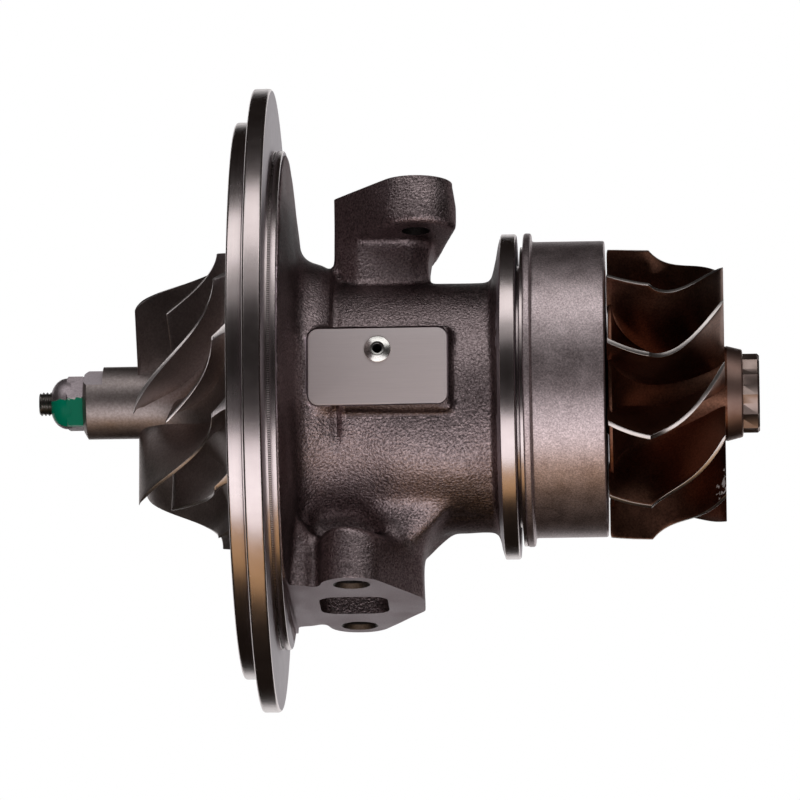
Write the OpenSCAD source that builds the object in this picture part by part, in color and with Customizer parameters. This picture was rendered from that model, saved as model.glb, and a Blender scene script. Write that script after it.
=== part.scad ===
// Turbo cartridge: a cast bearing housing and the rotor that spins in it, in millimetres.
// The shaft lies along X. X is 0 at the face that the compressor cover seats on and grows toward the
// turbine. Z is up, with the oil inlet on top and the oil drain below.

/* [Compressor flange] */
// Diameter of the pilot that centres the compressor cover
pilot_d = 134; // [128:0.5:138]
// Length of the pilot
pilot_len = 4.3; // [4:0.1:6]
// Diameter of the flange rim
flange_d = 150; // [142:0.5:160]
// Thickness of the flange rim
flange_t = 4.4; // [3.5:0.1:5]
// Diameter of the turned shoulder behind the rim
shoulder_d = 120; // [112:0.5:126]
// Where the turned shoulder ends
shoulder_end = 7.1; // [6.5:0.1:7.5]
// Edge break on turned rings
edge_break = 0.6; // [0.2:0.1:0.8]
// Diameter of the recess that the compressor wheel turns in
recess_d = 74; // [73:0.5:80]
// Floor of the wheel recess
recess_floor = -2.4; // [-2.6:0.1:-2.2]

/* [Barrel] */
// Radius of the cast barrel
barrel_r = 30; // [29:0.1:32]
// How far the barrel's centre lies below the shaft
barrel_drop = 2.6; // [2:0.1:3]
// Radius of the boss around the bearing bore
boss_r = 13; // [12:0.1:14]
// Radius of the oil chamber around that boss
chamber_r = 23; // [21:0.1:24]
// Where the oil chamber starts
chamber_x0 = 17; // [16.5:0.1:18]
// Wall between the oil chamber and the turbine flange
chamber_wall = 1.9; // [1:0.1:5.9]
// Half width of the rib that carries the oil drillings
rib_half_w = 7; // [6:0.5:8]

/* [Turbine flange] */
// Diameter of the band clamp flange
turbine_flange_d = 78.2; // [76:0.1:80]
// Where that flange starts, which sets the length of the housing
turbine_flange_x = 57.9; // [57:0.1:62]
// Thickness of that flange
turbine_flange_t = 4.6; // [4:0.1:4.8]
// Radius of the neck behind the flange
neck_r = 31.4; // [29:0.1:32]
// Gap between that flange and the face that the heat shield rests on
shield_gap = 1.7; // [1.4:0.1:2.4]
// Radius of the face that the heat shield rests on
shield_rest_r = 36; // [35:0.1:36.6]
// Gap between the housing nose and the end of the heat shield
nose_gap = 6.6; // [5.6:0.1:8]
// Radius of the oil space behind the turbine seal
slinger_r = 17; // [15:0.5:18]

/* [Oil inlet] */
// Height of the inlet face over the shaft
inlet_z = 48.4; // [46:0.1:52]
// Thickness of the inlet pad
inlet_pad_t = 11.5; // [9:0.1:13]
// Distance between the inlet bolts
inlet_bolt_pitch = 35.6; // [33:0.1:38]
// Turn of the line through the inlet bolts
inlet_turn = 10.7; // [0:0.1:12]
// Radius of the pad around an inlet bolt
inlet_lobe_r = 8.9; // [8:0.1:10]
// Place of the oil inlet along the shaft
inlet_x = 35.3; // [34:0.1:36]
// Radius of the oil inlet
inlet_r = 4; // [3:0.1:4.4]
// Left end of the pad and of the pillar under it
inlet_end_x = 18.4; // [17.5:0.1:20]
// Width of that end
inlet_end_w = 11; // [8:0.5:13]
// Right side of the pillar
pillar_x1 = 41.3; // [41:0.1:43]
// Width of the pillar
pillar_w = 22; // [20:0.5:23]

/* [Oil drain] */
// Depth of the drain face under the shaft
drain_z = 50.8; // [50:0.1:54]
// Thickness of the drain plate
drain_plate_t = 13; // [11:0.1:14]
// Distance between the drain bolts
drain_bolt_pitch = 44.4; // [42:0.1:48]
// Place of the drain bolts along the shaft
drain_bolt_x = 23; // [22:0.1:24]
// Radius of the plate around a drain bolt
drain_lobe_r = 7.5; // [7:0.1:8.5]
// Right end of the drain plate
drain_end_x = 39.5; // [38:0.1:41]
// Width of that end
drain_end_w = 17.4; // [14:0.1:20]
// Width of the funnel over the drain plate
funnel_w = 30; // [26:0.5:32]
// Where the funnel meets the barrel
funnel_x1 = 45.6; // [44:0.1:48]
// Width of the column that ties the drain plate to the flange
column_w = 44; // [40:0.5:46]
// Length of the drain opening along the shaft
drain_open_x = 16.4; // [14:0.1:17]
// Width of the drain opening
drain_open_y = 18; // [14:0.1:20]
// Corner radius of the drain opening
drain_open_r = 4; // [2:0.5:6]
// Radius of the tapped holes in both oil pads
tap_r = 3.4; // [3:0.1:4.2]
// Radius of the countersink at a tapped hole
countersink_r = 4.45; // [4.3:0.05:5]

/* [Journal bearings] */
// Radius of the shaft journals
journal_r = 5.7; // [5.4:0.05:5.8]
// Running clearance between journal and bush
journal_clear = 0.03; // [0.02:0.01:0.05]
// Outer radius of the floating bushes
bush_r = 8.71; // [8.6:0.01:8.9]
// Running clearance between bush and housing
bush_clear = 0.04; // [0.02:0.01:0.06]
// Length of a bush
bush_len = 11.5; // [10:0.1:11.8]
// Middle of the compressor end bush
bush_a_x = 24.25; // [24.1:0.05:24.4]
// Distance of the turbine end bush from the turbine flange
bush_b_inset = 4.15; // [4:0.05:4.4]
// Room between a bush and its snap ring
bush_end_play = 0.3; // [0.2:0.05:0.4]
// Width of a snap ring
snap_w = 1.2; // [1:0.05:1.3]
// Depth of a snap ring groove
snap_depth = 0.9; // [0.6:0.05:1.1]
// Distance from the middle of a bush to the oil relief between the bushes
relief_inset = 8.75; // [8.6:0.05:9.7]

/* [Thrust bearing] */
// Face of the housing that the thrust bearing lies on
thrust_seat_x = 13.05; // [12.9:0.05:13.3]
// Thickness of the thrust bearing
thrust_t = 4; // [3.6:0.05:4.2]
// Radius of the thrust bearing
thrust_r = 22; // [20.5:0.1:22.5]
// Free play on each side of the thrust bearing
thrust_play = 0.05; // [0.03:0.01:0.1]
// Radius of the space that the thrust bearing lies in
thrust_space_r = 26; // [25.5:0.1:27]
// Radius of the front thrust ring
front_ring_r = 14; // [12:0.1:15]
// Thickness of the front thrust ring
front_ring_t = 1.5; // [1.2:0.05:1.6]
// Radius of the spacer on the front thrust ring
spacer_r = 6.5; // [6:0.1:6.6]
// Radius of the rear thrust ring
rear_ring_r = 12; // [11:0.1:12.3]
// Thickness of the rear thrust ring
rear_ring_t = 1.9; // [1.7:0.05:2.1]
// Radius of a dowel pin
pin_r = 1.5; // [1:0.1:1.8]
// Side distance of a dowel pin from the shaft
pin_y = 17; // [16.5:0.1:17.5]
// Height of the dowel pins over the shaft
pin_z = 6; // [4:0.5:7]

/* [Seals] */
// Radius of the bore that holds the seal insert
insert_r = 33; // [32.5:0.1:34]
// Clearance of the seal insert in that bore
insert_clear = 0.05; // [0.03:0.01:0.1]
// Back face of the seal insert
insert_back = 6; // [5.9:0.05:6.1]
// Thickness of the oil deflector
deflector_t = 0.8; // [0.6:0.05:0.9]
// Length of the lip that leads oil to the drain
deflector_lip_l = 5; // [3:0.1:6]
// Width of that lip
deflector_lip_w = 12; // [8:0.5:14]
// Depth of that lip under the shaft
deflector_lip_z = 24; // [23.5:0.1:24.4]
// Middle of the groove for the rubber ring
o_ring_x = 3.25; // [3.1:0.05:3.4]
// Width of that groove
o_ring_groove = 2.7; // [2.4:0.1:2.9]
// Radius of the rubber ring's section
o_ring_r = 0.95; // [0.8:0.05:0.98]
// Gap in the retaining ring
snap_gap = 8; // [6:0.5:12]
// Radius of the compressor seal ring
comp_ring_r = 8.9; // [8.8:0.05:9.2]
// Radius of the turbine seal ring
turb_ring_r = 9.2; // [9.1:0.05:9.4]
// Width of a seal ring
ring_w = 1.4; // [1.2:0.05:1.5]
// Side clearance of a seal ring in its groove
ring_side = 0.1; // [0.05:0.01:0.15]
// Radial depth of a seal ring
ring_depth = 1.4; // [1.2:0.05:1.5]
// Gap between a turning seal carrier and its bore
carrier_gap = 0.3; // [0.25:0.05:0.4]
// Radius of the oil flinger
flinger_r = 15; // [14:0.1:16]

/* [Shaft and nut] */
// Radius of the slim end of the shaft
stub_r = 3.5; // [3.3:0.05:3.8]
// Assembly clearance of the pieces on the slim end
stub_clear = 0.01; // [0.01:0.01:0.03]
// Radius of the thread
thread_r = 2.9; // [2.6:0.05:3.1]
// Length of the thread past the compressor wheel
thread_out = 10.8; // [10:0.1:12]
// Distance of the shaft's weld from the back of the turbine wheel
weld_inset = 4.3; // [3.5:0.1:5]
// Distance across the corners of the nut
nut_corner_d = 13.8; // [13.2:0.1:14.4]
// Turn of the nut
nut_turn = 27.8; // [0:0.1:60]
// Length of the hexagon
nut_hex_len = 4; // [3:0.1:4.4]
// Length of the domed nose of the nut
nut_dome_len = 3.8; // [3.5:0.1:5]

/* [Compressor wheel] */
// Length of the wheel from its back to the front of its hub
comp_len = 38.6; // [36:0.1:42]
// Radius of the hub nose
hub_nose_r = 8.7; // [8.3:0.1:9.2]
// Length of the hub nose in front of the blade roots
nose_out_hub = 13.3; // [12.5:0.1:14]
// Length of the hub nose in front of the blade tips
nose_out_tip = 13.5; // [12.5:0.1:14]
// Tip radius where air enters
comp_in_r = 27; // [25:0.1:27.6]
// Tip radius where air leaves
comp_out_r = 35.7; // [35:0.1:36]
// Hub face where air leaves
comp_exit_hub = -5.9; // [-6.2:0.1:-5.6]
// Height of the blades where air leaves
comp_exit_b = 3.6; // [3:0.1:5]
// Back of the wheel
comp_back = -3.5; // [-3.6:0.05:-3.4]
// Full blades, with as many splitters between them
comp_blades = 6; // [5:1:7]
// Turn of a blade from entry to exit at the tip
comp_wrap = 60; // [50:1:64]
// How soon a blade turns: a smaller number turns more of it near the entry
comp_early = 0.6; // [0.5:0.05:1]
// Turn that the hub leads by at the exit
comp_rake = 6.5; // [0:0.5:8]
// Angle of the first blade at entry
comp_first = -19.5; // [-40:0.1:40]
// Part of the blade length that a splitter lacks
splitter_start = 0.235; // [0.2:0.005:0.4]
// Depth of the balance flat on the hub nose
balance_cut = 2.3; // [1.5:0.1:2.6]
// Length of that flat
balance_len = 4.8; // [3:0.1:6]
// Place of that flat around the shaft
balance_angle = 59.8; // [0:0.1:180]

/* [Turbine wheel] */
// Tip radius where gas enters
turb_in_r = 35; // [34.2:0.1:36]
// Tip radius where gas leaves
turb_out_r = 30.8; // [29.5:0.1:32]
// Gap between the heat shield and the back of the wheel
wheel_gap = 0.7; // [0.6:0.05:1]
// Width of the blades where gas enters
turb_in_b = 9.9; // [9:0.1:11]
// Length from the back of the wheel to the end of the blades
turb_len = 27.7; // [26:0.1:30]
// Radius of the hub where gas leaves
turb_hub_r = 11.3; // [10.8:0.1:11.6]
// Thickness of the back disc
turb_disc_t = 0.9; // [0.8:0.1:1.4]
// Radius of the back disc between the blades
turb_disc_r = 28; // [27.5:0.5:31]
// Number of blades
turb_blades = 11; // [9:1:12]
// Lean of the entry edge
turb_lean = 6.1; // [0:0.1:8]
// Turn of the blades toward the exit
turb_wrap = 30.3; // [25:0.1:34]
// Angle of the first blade at the back disc
turb_first = -24.9; // [-40:0.1:40]
// Corner radius of the twelve-point nose
nose_point_r = 9.5; // [9:0.1:10]
// Length of the plain boss
nose_boss_len = 4.2; // [3.5:0.1:5]
// Length of the twelve-point nose
nose_len = 4.1; // [3.5:0.1:5]

/* [Heat shield] */
// How far the shield's flange stands out past its can
shield_flange_w = 2.1; // [1.4:0.1:2.9]
// Thickness of the shield flange
shield_flange_t = 1.9; // [1.6:0.1:2.2]
// Diameter of the can
shield_d = 71.2; // [70:0.1:72]
// Sheet thickness
shield_t = 1.5; // [1.2:0.1:1.7]
// Length of the shield
shield_len = 19.4; // [18.6:0.1:21]
// How far the shield sits up: it is loose until the turbine housing holds it
shield_lift = 1.6; // [0:0.1:1.8]
// Radius of the hole around the turbine hub
shield_hole_r = 11.5; // [10.5:0.1:13]
// Clearance of the shield on the housing
shield_clear = 0.1; // [0.05:0.01:0.2]

/* [Nameplate] */
// Length of the plate
plate_l = 33; // [28:0.5:33.5]
// Height of the plate
plate_h = 18.6; // [15:0.1:19]
// Thickness of the plate
plate_t = 0.8; // [0.5:0.1:1.2]
// Middle of the plate along the shaft
plate_x = 29.8; // [29:0.1:30.5]
// Side distance of the plate's seat from the shaft
plate_seat = 31.2; // [31:0.1:32]
// Height of the rivet over the shaft
rivet_z = 4.1; // [3:0.1:5]
// Radius of the rivet head
rivet_head_r = 3.2; // [2.6:0.1:3.4]
// Radius of the rivet shank
rivet_r = 1.5; // [1.3:0.1:1.8]
// Radius of the hole in the rivet
rivet_hole_r = 1.1; // [0.8:0.05:1.15]

/* [Hidden] */
$fn = 96;

// Positions along the shaft, one after another from the cover's seat
turbine_flange_end = turbine_flange_x + turbine_flange_t;
shield_seat_x = turbine_flange_end + shield_gap;
shield_end = shield_seat_x + shield_len;
nose_end = shield_end - nose_gap;
turb_back = shield_end + wheel_gap;
turb_exit = turb_back + turb_len;
weld_x = turb_back - weld_inset;
bush_b_x = turbine_flange_x - bush_b_inset;
chamber_x1 = turbine_flange_x - chamber_wall;
relief_x0 = bush_a_x + relief_inset;
relief_x1 = bush_b_x - relief_inset;
journal_end = turbine_flange_end - 0.5;
seal_start = shield_seat_x + 1.8;
hub_front = comp_back - comp_len;
comp_le_hub = hub_front + nose_out_hub;
comp_le_tip = hub_front + nose_out_tip;
thread_end = hub_front - thread_out;
bore_r = bush_r + bush_clear;
stub_bore_r = stub_r + stub_clear;
insert_seat = insert_back + deflector_t;
insert_front = recess_floor;
groove_x0 = recess_floor + 0.2;
groove_x1 = groove_x0 + 1.5;
insert_rim = groove_x1;
thrust_face = thrust_seat_x - thrust_t;
front_ring_x = thrust_face - thrust_play;
rear_ring_x = thrust_seat_x + thrust_play;
stack_end = rear_ring_x + rear_ring_t;
sleeve_x0 = comp_back + 0.2;
sleeve_x1 = front_ring_x - front_ring_t;
comp_carrier_r = comp_ring_r - carrier_gap;
turb_carrier_r = turb_ring_r - carrier_gap - 0.1;
comp_ring_x = 0.6;
turb_ring_x = shield_seat_x + 6.9;
shield_in_r = shield_d / 2 - shield_t;
shield_seat_r = shield_in_r - shield_lift - shield_clear;
snap_xs = [
  for (c = [bush_a_x, bush_b_x], s = [-1, 1])
    c + s * (bush_len / 2 + bush_end_play + snap_w / 2)
];
drain_plate_top = -drain_z + drain_plate_t;
inlet_pad_z = inlet_z - inlet_pad_t;
drain_open_x0 = drain_bolt_x - 0.3 - drain_open_x / 2;
inlet_bolts = [
  for (s = [-0.5, 0.5])
    [inlet_x - s * inlet_bolt_pitch * sin(inlet_turn), s * inlet_bolt_pitch * cos(inlet_turn)]
];
mill_box = [40, 80, 20];
plate_mill = [34.4, 20, 20.4];

// Turns an outline of [x, radius] points about the shaft.
module turned(points) {
  rotate([0, 90, 0]) rotate_extrude() polygon([for (p = points) [p[1], p[0]]]);
}

// A solid round bar along the shaft, from x0 to x1.
module rod(x0, x1, r) {
  translate([x0, 0, 0]) rotate([0, 90, 0]) cylinder(r = r, h = x1 - x0);
}

// A plain ring along the shaft.
module tube(x0, x1, r_in, r_out) {
  turned([[x0, r_in], [x1, r_in], [x1, r_out], [x0, r_out]]);
}

// A drilling of radius r between two points [x, z] in the upright plane of the shaft.
module drilling(a, b, r) {
  run = b - a;
  translate([a[0], 0, a[1]]) rotate([0, atan2(run[0], run[1]), 0]) cylinder(r = r, h = norm(run));
}

// A flat outline with round corners, centred.
module rounded(l, h, r) {
  square([l - 2 * r, h], center = true);
  square([l, h - 2 * r], center = true);
  for (sx = [-1, 1], sy = [-1, 1]) translate([sx * (l / 2 - r), sy * (h / 2 - r)]) circle(r = r);
}

// A point at x, radius r and angle a, where a is measured from -Y toward +Z.
function around(x, r, a) = [x, -r * cos(a), r * sin(a)];

// Joins sections of four points each into one closed blade.
module blade(sections) {
  n = len(sections) - 1;
  polyhedron(
    points = [for (s = sections) each s],
    faces = concat(
      [for (i = [0 : n - 1], j = [0 : 3]) [4 * i + j, 4 * i + (j + 1) % 4, 4 * (i + 1) + j]],
      [for (i = [0 : n - 1], j = [0 : 3])
        [4 * i + (j + 1) % 4, 4 * (i + 1) + (j + 1) % 4, 4 * (i + 1) + j]],
      [[0, 2, 1], [0, 3, 2], [4 * n, 4 * n + 1, 4 * n + 2], [4 * n, 4 * n + 2, 4 * n + 3]]
    )
  );
}

// One blade section: root and tip are [x, r, angle, thickness].
function blade_section(root, tip) =
  let (dr = root[3] / root[1] * 90 / PI, dt = tip[3] / tip[1] * 90 / PI)
  [
    around(root[0], root[1], root[2] - dr), around(tip[0], tip[1], tip[2] - dt),
    around(tip[0], tip[1], tip[2] + dt), around(root[0], root[1], root[2] + dr)
  ];

// The big compressor flange, turned rings in front and the cast cone behind.
module flange_rings() {
  p = pilot_d / 2;
  f = flange_d / 2;
  s = shoulder_d / 2;
  e = edge_break;
  turned([
    [-pilot_len, 0], [-pilot_len, p - e], [-pilot_len + e, p], [0, p],
    [0, f - e], [e, f], [flange_t - e, f], [flange_t, f - e],
    [flange_t, s - 0.7], [flange_t + 0.5, s - 0.7], [flange_t + 0.5, s], [shoulder_end, s],
    [shoulder_end, s - 1], [shoulder_end + 0.5, s - 1.3],
    [shoulder_end + 3, barrel_r + 7], [shoulder_end + 3.8, barrel_r + 4.8], [shoulder_end + 5.4, barrel_r + 3.3],
    [shoulder_end + 9, barrel_r + 2.2], [shoulder_end + 12.9, barrel_r - 1], [shoulder_end + 12.9, 0]
  ]);
}

// The turbine end: clamp flange, neck, shield seat and the nose that carries the seal bore.
module turbine_end() {
  f = turbine_flange_d / 2;
  turned([
    [turbine_flange_x - 2, 0], [turbine_flange_x - 2, barrel_r - 4], [turbine_flange_x, 35],
    [turbine_flange_x + 1, f], [turbine_flange_end - 0.4, f], [turbine_flange_end, f - 0.4],
    [turbine_flange_end, neck_r], [shield_seat_x - 0.8, neck_r],
    [shield_seat_x - 0.8, shield_rest_r], [shield_seat_x, shield_rest_r],
    [shield_seat_x, shield_seat_r], [shield_seat_x + 3.8, shield_seat_r],
    [shield_seat_x + 3.8, shield_seat_r - 3], [shield_seat_x + 7, 20], [shield_seat_x + 9, 15],
    [nose_end, 14.5], [nose_end, 0]
  ]);
}

// The oil inlet pad on its pillar.
module inlet_tower() {
  e = inlet_end_w / 2;
  w = pillar_w / 2;
  translate([0, 0, inlet_pad_z]) linear_extrude(inlet_pad_t) hull() {
    for (b = inlet_bolts) translate(b) circle(r = inlet_lobe_r, $fn = 32);
    translate([inlet_end_x, -e]) square([1, 2 * e]);
  }
  translate([0, 0, 15]) linear_extrude(inlet_pad_z - 14) polygon([
    [inlet_end_x, -e], [inlet_end_x + w - e + 0.6, -w], [pillar_x1 - 4.3, -w], [pillar_x1, 4 - w],
    [pillar_x1, w - 4], [pillar_x1 - 4.3, w], [inlet_end_x + w - e + 0.6, w], [inlet_end_x, e]
  ]);
}

// The oil drain plate, the funnel above it and the column that ties it to the flange.
module drain_tower() {
  translate([0, 0, -drain_z]) linear_extrude(drain_plate_t) {
    hull() {
      for (s = [-1, 1]) translate([drain_bolt_x, s * drain_bolt_pitch / 2]) circle(r = drain_lobe_r, $fn = 32);
      for (s = [-1, 1]) translate([drain_end_x - 2.6, s * (drain_end_w / 2 - 2.6)]) circle(r = 2.6, $fn = 24);
    }
    translate([shoulder_end + 4.9, 2 - column_w / 2]) square([drain_bolt_x - shoulder_end - 4, column_w - 4]);
  }
  translate([shoulder_end + 0.4, -column_w / 2, -drain_z]) cube([5.1, column_w, drain_z - 34.6]);
  translate([0, funnel_w / 2, 0]) rotate([90, 0, 0]) linear_extrude(funnel_w) polygon([
    [9, drain_plate_top - 0.2], [drain_end_x + 0.1, drain_plate_top + 0.2], [funnel_x1, drain_plate_top + 8],
    [funnel_x1 + 0.9, -20], [9, -20]
  ]);
}

// The raised flat that the nameplate lies on.
module plate_seat_pad() {
  translate([plate_x - plate_mill[0] / 2, -plate_seat, -10.4]) cube([plate_mill[0], 12, plate_mill[2]]);
}

// The bores and faces for the insert, thrust bearing and bushes.
module bearing_bores() {
  rod(-pilot_len - 1, recess_floor, recess_d / 2);
  rod(recess_floor - 1, insert_seat, insert_r);
  rod(groove_x0, groove_x1, insert_r + 1.8);
  rod(insert_seat - 1, thrust_seat_x, thrust_space_r);
  rod(thrust_seat_x - 1, rear_ring_x + rear_ring_t + 0.6, rear_ring_r + 1);
  rod(thrust_seat_x - 1, journal_end, bore_r);
  for (x = snap_xs) rod(x - snap_w / 2 - 0.05, x + snap_w / 2 + 0.05, bore_r + snap_depth);
  rod(journal_end - 0.5, seal_start + 1, slinger_r);
  rod(seal_start, nose_end + 1, turb_ring_r);
  for (s = [-1, 1]) translate([0, s * pin_y, pin_z]) rod(thrust_seat_x - 1, chamber_x0 - 0.5, pin_r);
}

// The cored oil chamber, its drain and the drillings that feed the bearings.
module oil_ways() {
  difference() {
    tube(chamber_x0, chamber_x1, boss_r, chamber_r);
    translate([chamber_x0 - 1, -rib_half_w, 0]) cube([chamber_x1 - chamber_x0 + 2, 2 * rib_half_w, chamber_r + 1]);
  }
  rod(relief_x0, relief_x1, boss_r + 0.5);
  translate([0, 0, -14.5]) rod(chamber_x1 - 4, journal_end + 3, 3.5);
  translate([0, 0, -19]) rod(thrust_seat_x - 3, chamber_x0 + 3, 5);
  translate([drain_open_x0 + drain_open_x / 2, 0, -drain_z - 1])
    linear_extrude(drain_z - 17) rounded(drain_open_x, drain_open_y, drain_open_r);
  translate([inlet_x, 0, 20]) cylinder(r = inlet_r, h = inlet_z - 19);
  for (x = [bush_a_x, bush_b_x]) drilling([inlet_x, 21], [x, 7.5], 1.5);
  drilling([inlet_x, 21], [thrust_seat_x - 0.5, 15.5], 1.2);
}

// Tapped holes in the two oil pads.
module pad_holes() {
  for (b = inlet_bolts) translate([b[0], b[1], inlet_pad_z - 1]) cylinder(r = tap_r, h = inlet_pad_t + 2);
  for (s = [-1, 1]) {
    translate([drain_bolt_x, s * drain_bolt_pitch / 2, -drain_z - 1]) {
      cylinder(r = tap_r, h = drain_plate_t + 2);
      cylinder(r1 = countersink_r + 1, r2 = tap_r, h = 1 + countersink_r - tap_r);
    }
  }
}

module bearing_housing() {
  color([0.30, 0.28, 0.26]) difference() {
    union() {
      flange_rings();
      translate([0, 0, -barrel_drop]) rod(10, turbine_flange_x + 1, barrel_r);
      turbine_end();
      inlet_tower();
      drain_tower();
      plate_seat_pad();
    }
    bearing_bores();
    oil_ways();
    pad_holes();
    translate([shoulder_end, -mill_box[1] / 2, -drain_z - mill_box[2]]) cube(mill_box);
    translate([plate_x - plate_mill[0] / 2, -plate_seat - plate_mill[1], -10.4]) cube(plate_mill);
    translate([plate_x, -plate_seat - 1, rivet_z]) rotate([-90, 0, 0]) cylinder(r = rivet_r, h = 5);
  }
}

module seal_insert() {
  r = insert_r - insert_clear;
  g0 = o_ring_x - o_ring_groove / 2;
  g1 = o_ring_x + o_ring_groove / 2;
  color([0.55, 0.55, 0.56]) turned([
    [insert_front, comp_ring_r], [insert_front, insert_r - 4], [insert_rim, insert_r - 3], [insert_rim, r],
    [g0, r], [g0, insert_r - 2], [g1, insert_r - 2], [g1, r], [insert_back, r],
    [insert_back, flinger_r + 2], [3.5, flinger_r + 2], [3.5, comp_ring_r]
  ]);
}

module insert_o_ring() {
  color([0.08, 0.08, 0.09]) rotate([0, 90, 0]) rotate_extrude()
    translate([insert_r - 1, o_ring_x]) circle(r = o_ring_r);
}

module insert_retaining_ring() {
  color([0.45, 0.45, 0.46]) difference() {
    tube(groove_x0 + 0.1, groove_x1 - 0.05, insert_r - 2.3, insert_r + 1.7);
    translate([groove_x0 - 1, -snap_gap / 2, 0]) cube([groove_x1 - groove_x0 + 2, snap_gap, insert_r + 5]);
  }
}

module oil_deflector() {
  color([0.6, 0.6, 0.6]) {
    tube(insert_back, insert_seat, comp_carrier_r + 1, insert_r - 0.1);
    translate([insert_back, -deflector_lip_w / 2, -deflector_lip_z])
      cube([deflector_lip_l, deflector_lip_w, deflector_t]);
  }
}

module thrust_bearing() {
  color([0.72, 0.52, 0.28]) difference() {
    tube(thrust_face, thrust_seat_x, spacer_r + 0.3, thrust_r);
    for (a = [0 : 60 : 300], x = [thrust_face - 1.7, thrust_seat_x - 0.3])
      rotate([a, 0, 0]) translate([x, -0.9, spacer_r]) cube([2, 1.8, rear_ring_r - spacer_r + 1.5]);
    for (s = [-1, 1]) translate([0, s * pin_y, pin_z]) rod(thrust_face - 1, thrust_seat_x + 1, pin_r);
  }
}

module thrust_pins() {
  color([0.7, 0.7, 0.72])
    for (s = [-1, 1]) translate([0, s * pin_y, pin_z]) rod(thrust_face + 0.5, chamber_x0 - 0.6, pin_r);
}

// A piston ring: a plain ring with a narrow gap.
module piston_ring(x, r) {
  difference() {
    tube(x, x + ring_w, r - ring_depth, r);
    translate([x - 1, -0.3, 0]) cube([ring_w + 2, 0.6, r + 1]);
  }
}

module compressor_seal_ring() {
  color([0.35, 0.35, 0.36]) piston_ring(comp_ring_x, comp_ring_r);
}

module turbine_seal_ring() {
  color([0.35, 0.35, 0.36]) piston_ring(turb_ring_x, turb_ring_r);
}

module bearing_snap_rings() {
  color([0.45, 0.45, 0.46]) for (x = snap_xs) difference() {
    tube(x - snap_w / 2, x + snap_w / 2, bore_r - 1.2, bore_r + snap_depth - 0.1);
    translate([x - snap_w, -snap_w * 1.7, -bore_r - 3]) cube([2 * snap_w, snap_w * 3.4, bore_r]);
  }
}

module heat_shield() {
  r = shield_d / 2;
  color([0.62, 0.58, 0.54]) translate([0, 0, shield_lift]) turned([
    [shield_seat_x, shield_in_r], [shield_seat_x, r + shield_flange_w],
    [shield_seat_x + shield_flange_t, r + shield_flange_w], [shield_seat_x + shield_flange_t, r + 0.8],
    [shield_seat_x + shield_flange_t + 0.8, r], [shield_end - 0.7, r], [shield_end - 0.2, r - 0.2],
    [shield_end, r - 0.7], [shield_end, shield_hole_r], [shield_end - shield_t, shield_hole_r],
    [shield_end - shield_t, shield_in_r]
  ]);
}

// Places a flat piece on the nameplate's seat, facing -Y.
module on_plate_seat(z) {
  translate([plate_x, -plate_seat, z]) rotate([90, 0, 0]) children();
}

module nameplate() {
  color([0.75, 0.74, 0.72]) difference() {
    on_plate_seat(0) linear_extrude(plate_t) rounded(plate_l, plate_h, 2.5);
    on_plate_seat(rivet_z) translate([0, 0, -1]) cylinder(r = rivet_r, h = plate_t + 2);
  }
}

module nameplate_rivet() {
  color([0.8, 0.79, 0.76]) on_plate_seat(rivet_z) difference() {
    union() {
      translate([0, 0, -4]) cylinder(r = rivet_r, h = plate_t + 4);
      translate([0, 0, plate_t]) cylinder(r1 = rivet_head_r, r2 = rivet_head_r - 0.9, h = 1.1);
    }
    translate([0, 0, -3]) cylinder(r = rivet_hole_r, h = 8);
  }
}

module rotor_shaft() {
  floor_r = turb_ring_r - ring_depth - 0.3;
  color([0.6, 0.6, 0.62]) turned([
    [thread_end, 0], [thread_end, thread_r - 0.5], [thread_end + 0.5, thread_r], [hub_front + 1, thread_r],
    [hub_front + 1, stub_r], [stack_end, stub_r], [stack_end, journal_r], [journal_end, journal_r],
    [seal_start, turb_carrier_r], [turb_ring_x - ring_side, turb_carrier_r], [turb_ring_x - ring_side, floor_r],
    [turb_ring_x + ring_w + ring_side, floor_r], [turb_ring_x + ring_w + ring_side, turb_carrier_r],
    [weld_x, turb_carrier_r], [weld_x, 0]
  ]);
}

// Hub, blade root and blade tip lines of the turbine at u from 0 (entry) to 1 (exit), as [x, r].
turb_hub_x0 = turb_back + turb_disc_t;
turb_tip_x0 = turb_back + turb_in_b;
function turb_hub(u) = [
  turb_exit - (turb_exit - turb_hub_x0) * cos(90 * u), turb_disc_r - (turb_disc_r - turb_hub_r) * sin(90 * u)
];
function turb_root(u) =
  let (sink = 2.2 * min(1, 4 * u))
  [
    max(turb_back + 0.2, turb_exit - (turb_exit - turb_back + sink) * cos(90 * u)),
    turb_in_r - (turb_in_r - turb_hub_r + sink) * sin(90 * u)
  ];
function turb_tip(u) = [
  turb_tip_x0 + (turb_exit - turb_tip_x0) * u, turb_out_r + (turb_in_r - turb_out_r) * pow(1 - u, 5)
];
// Angle of the turbine blade at x. It depends on x alone, so the blade is made of radial lines.
function turb_angle(x) =
  x < turb_tip_x0 ? turb_first - turb_lean * (x - turb_back) / turb_in_b
  : turb_first - turb_lean + turb_wrap * pow((x - turb_tip_x0) / (turb_exit - turb_tip_x0), 2);

// Sections of one turbine blade, with roots sunk into the hub. Past the back disc the blade stands free.
turb_steps = 14;
turb_sections = [
  for (i = [0 : turb_steps])
    let (u = pow(i / turb_steps, 1.15), h = turb_root(u), t = turb_tip(u))
    blade_section(
      [h[0], h[1], turb_angle(h[0]), 1.2 + 1.2 * min(1, 4 * u)], [t[0], t[1], turb_angle(t[0]), 1.1]
    )
];

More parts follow.
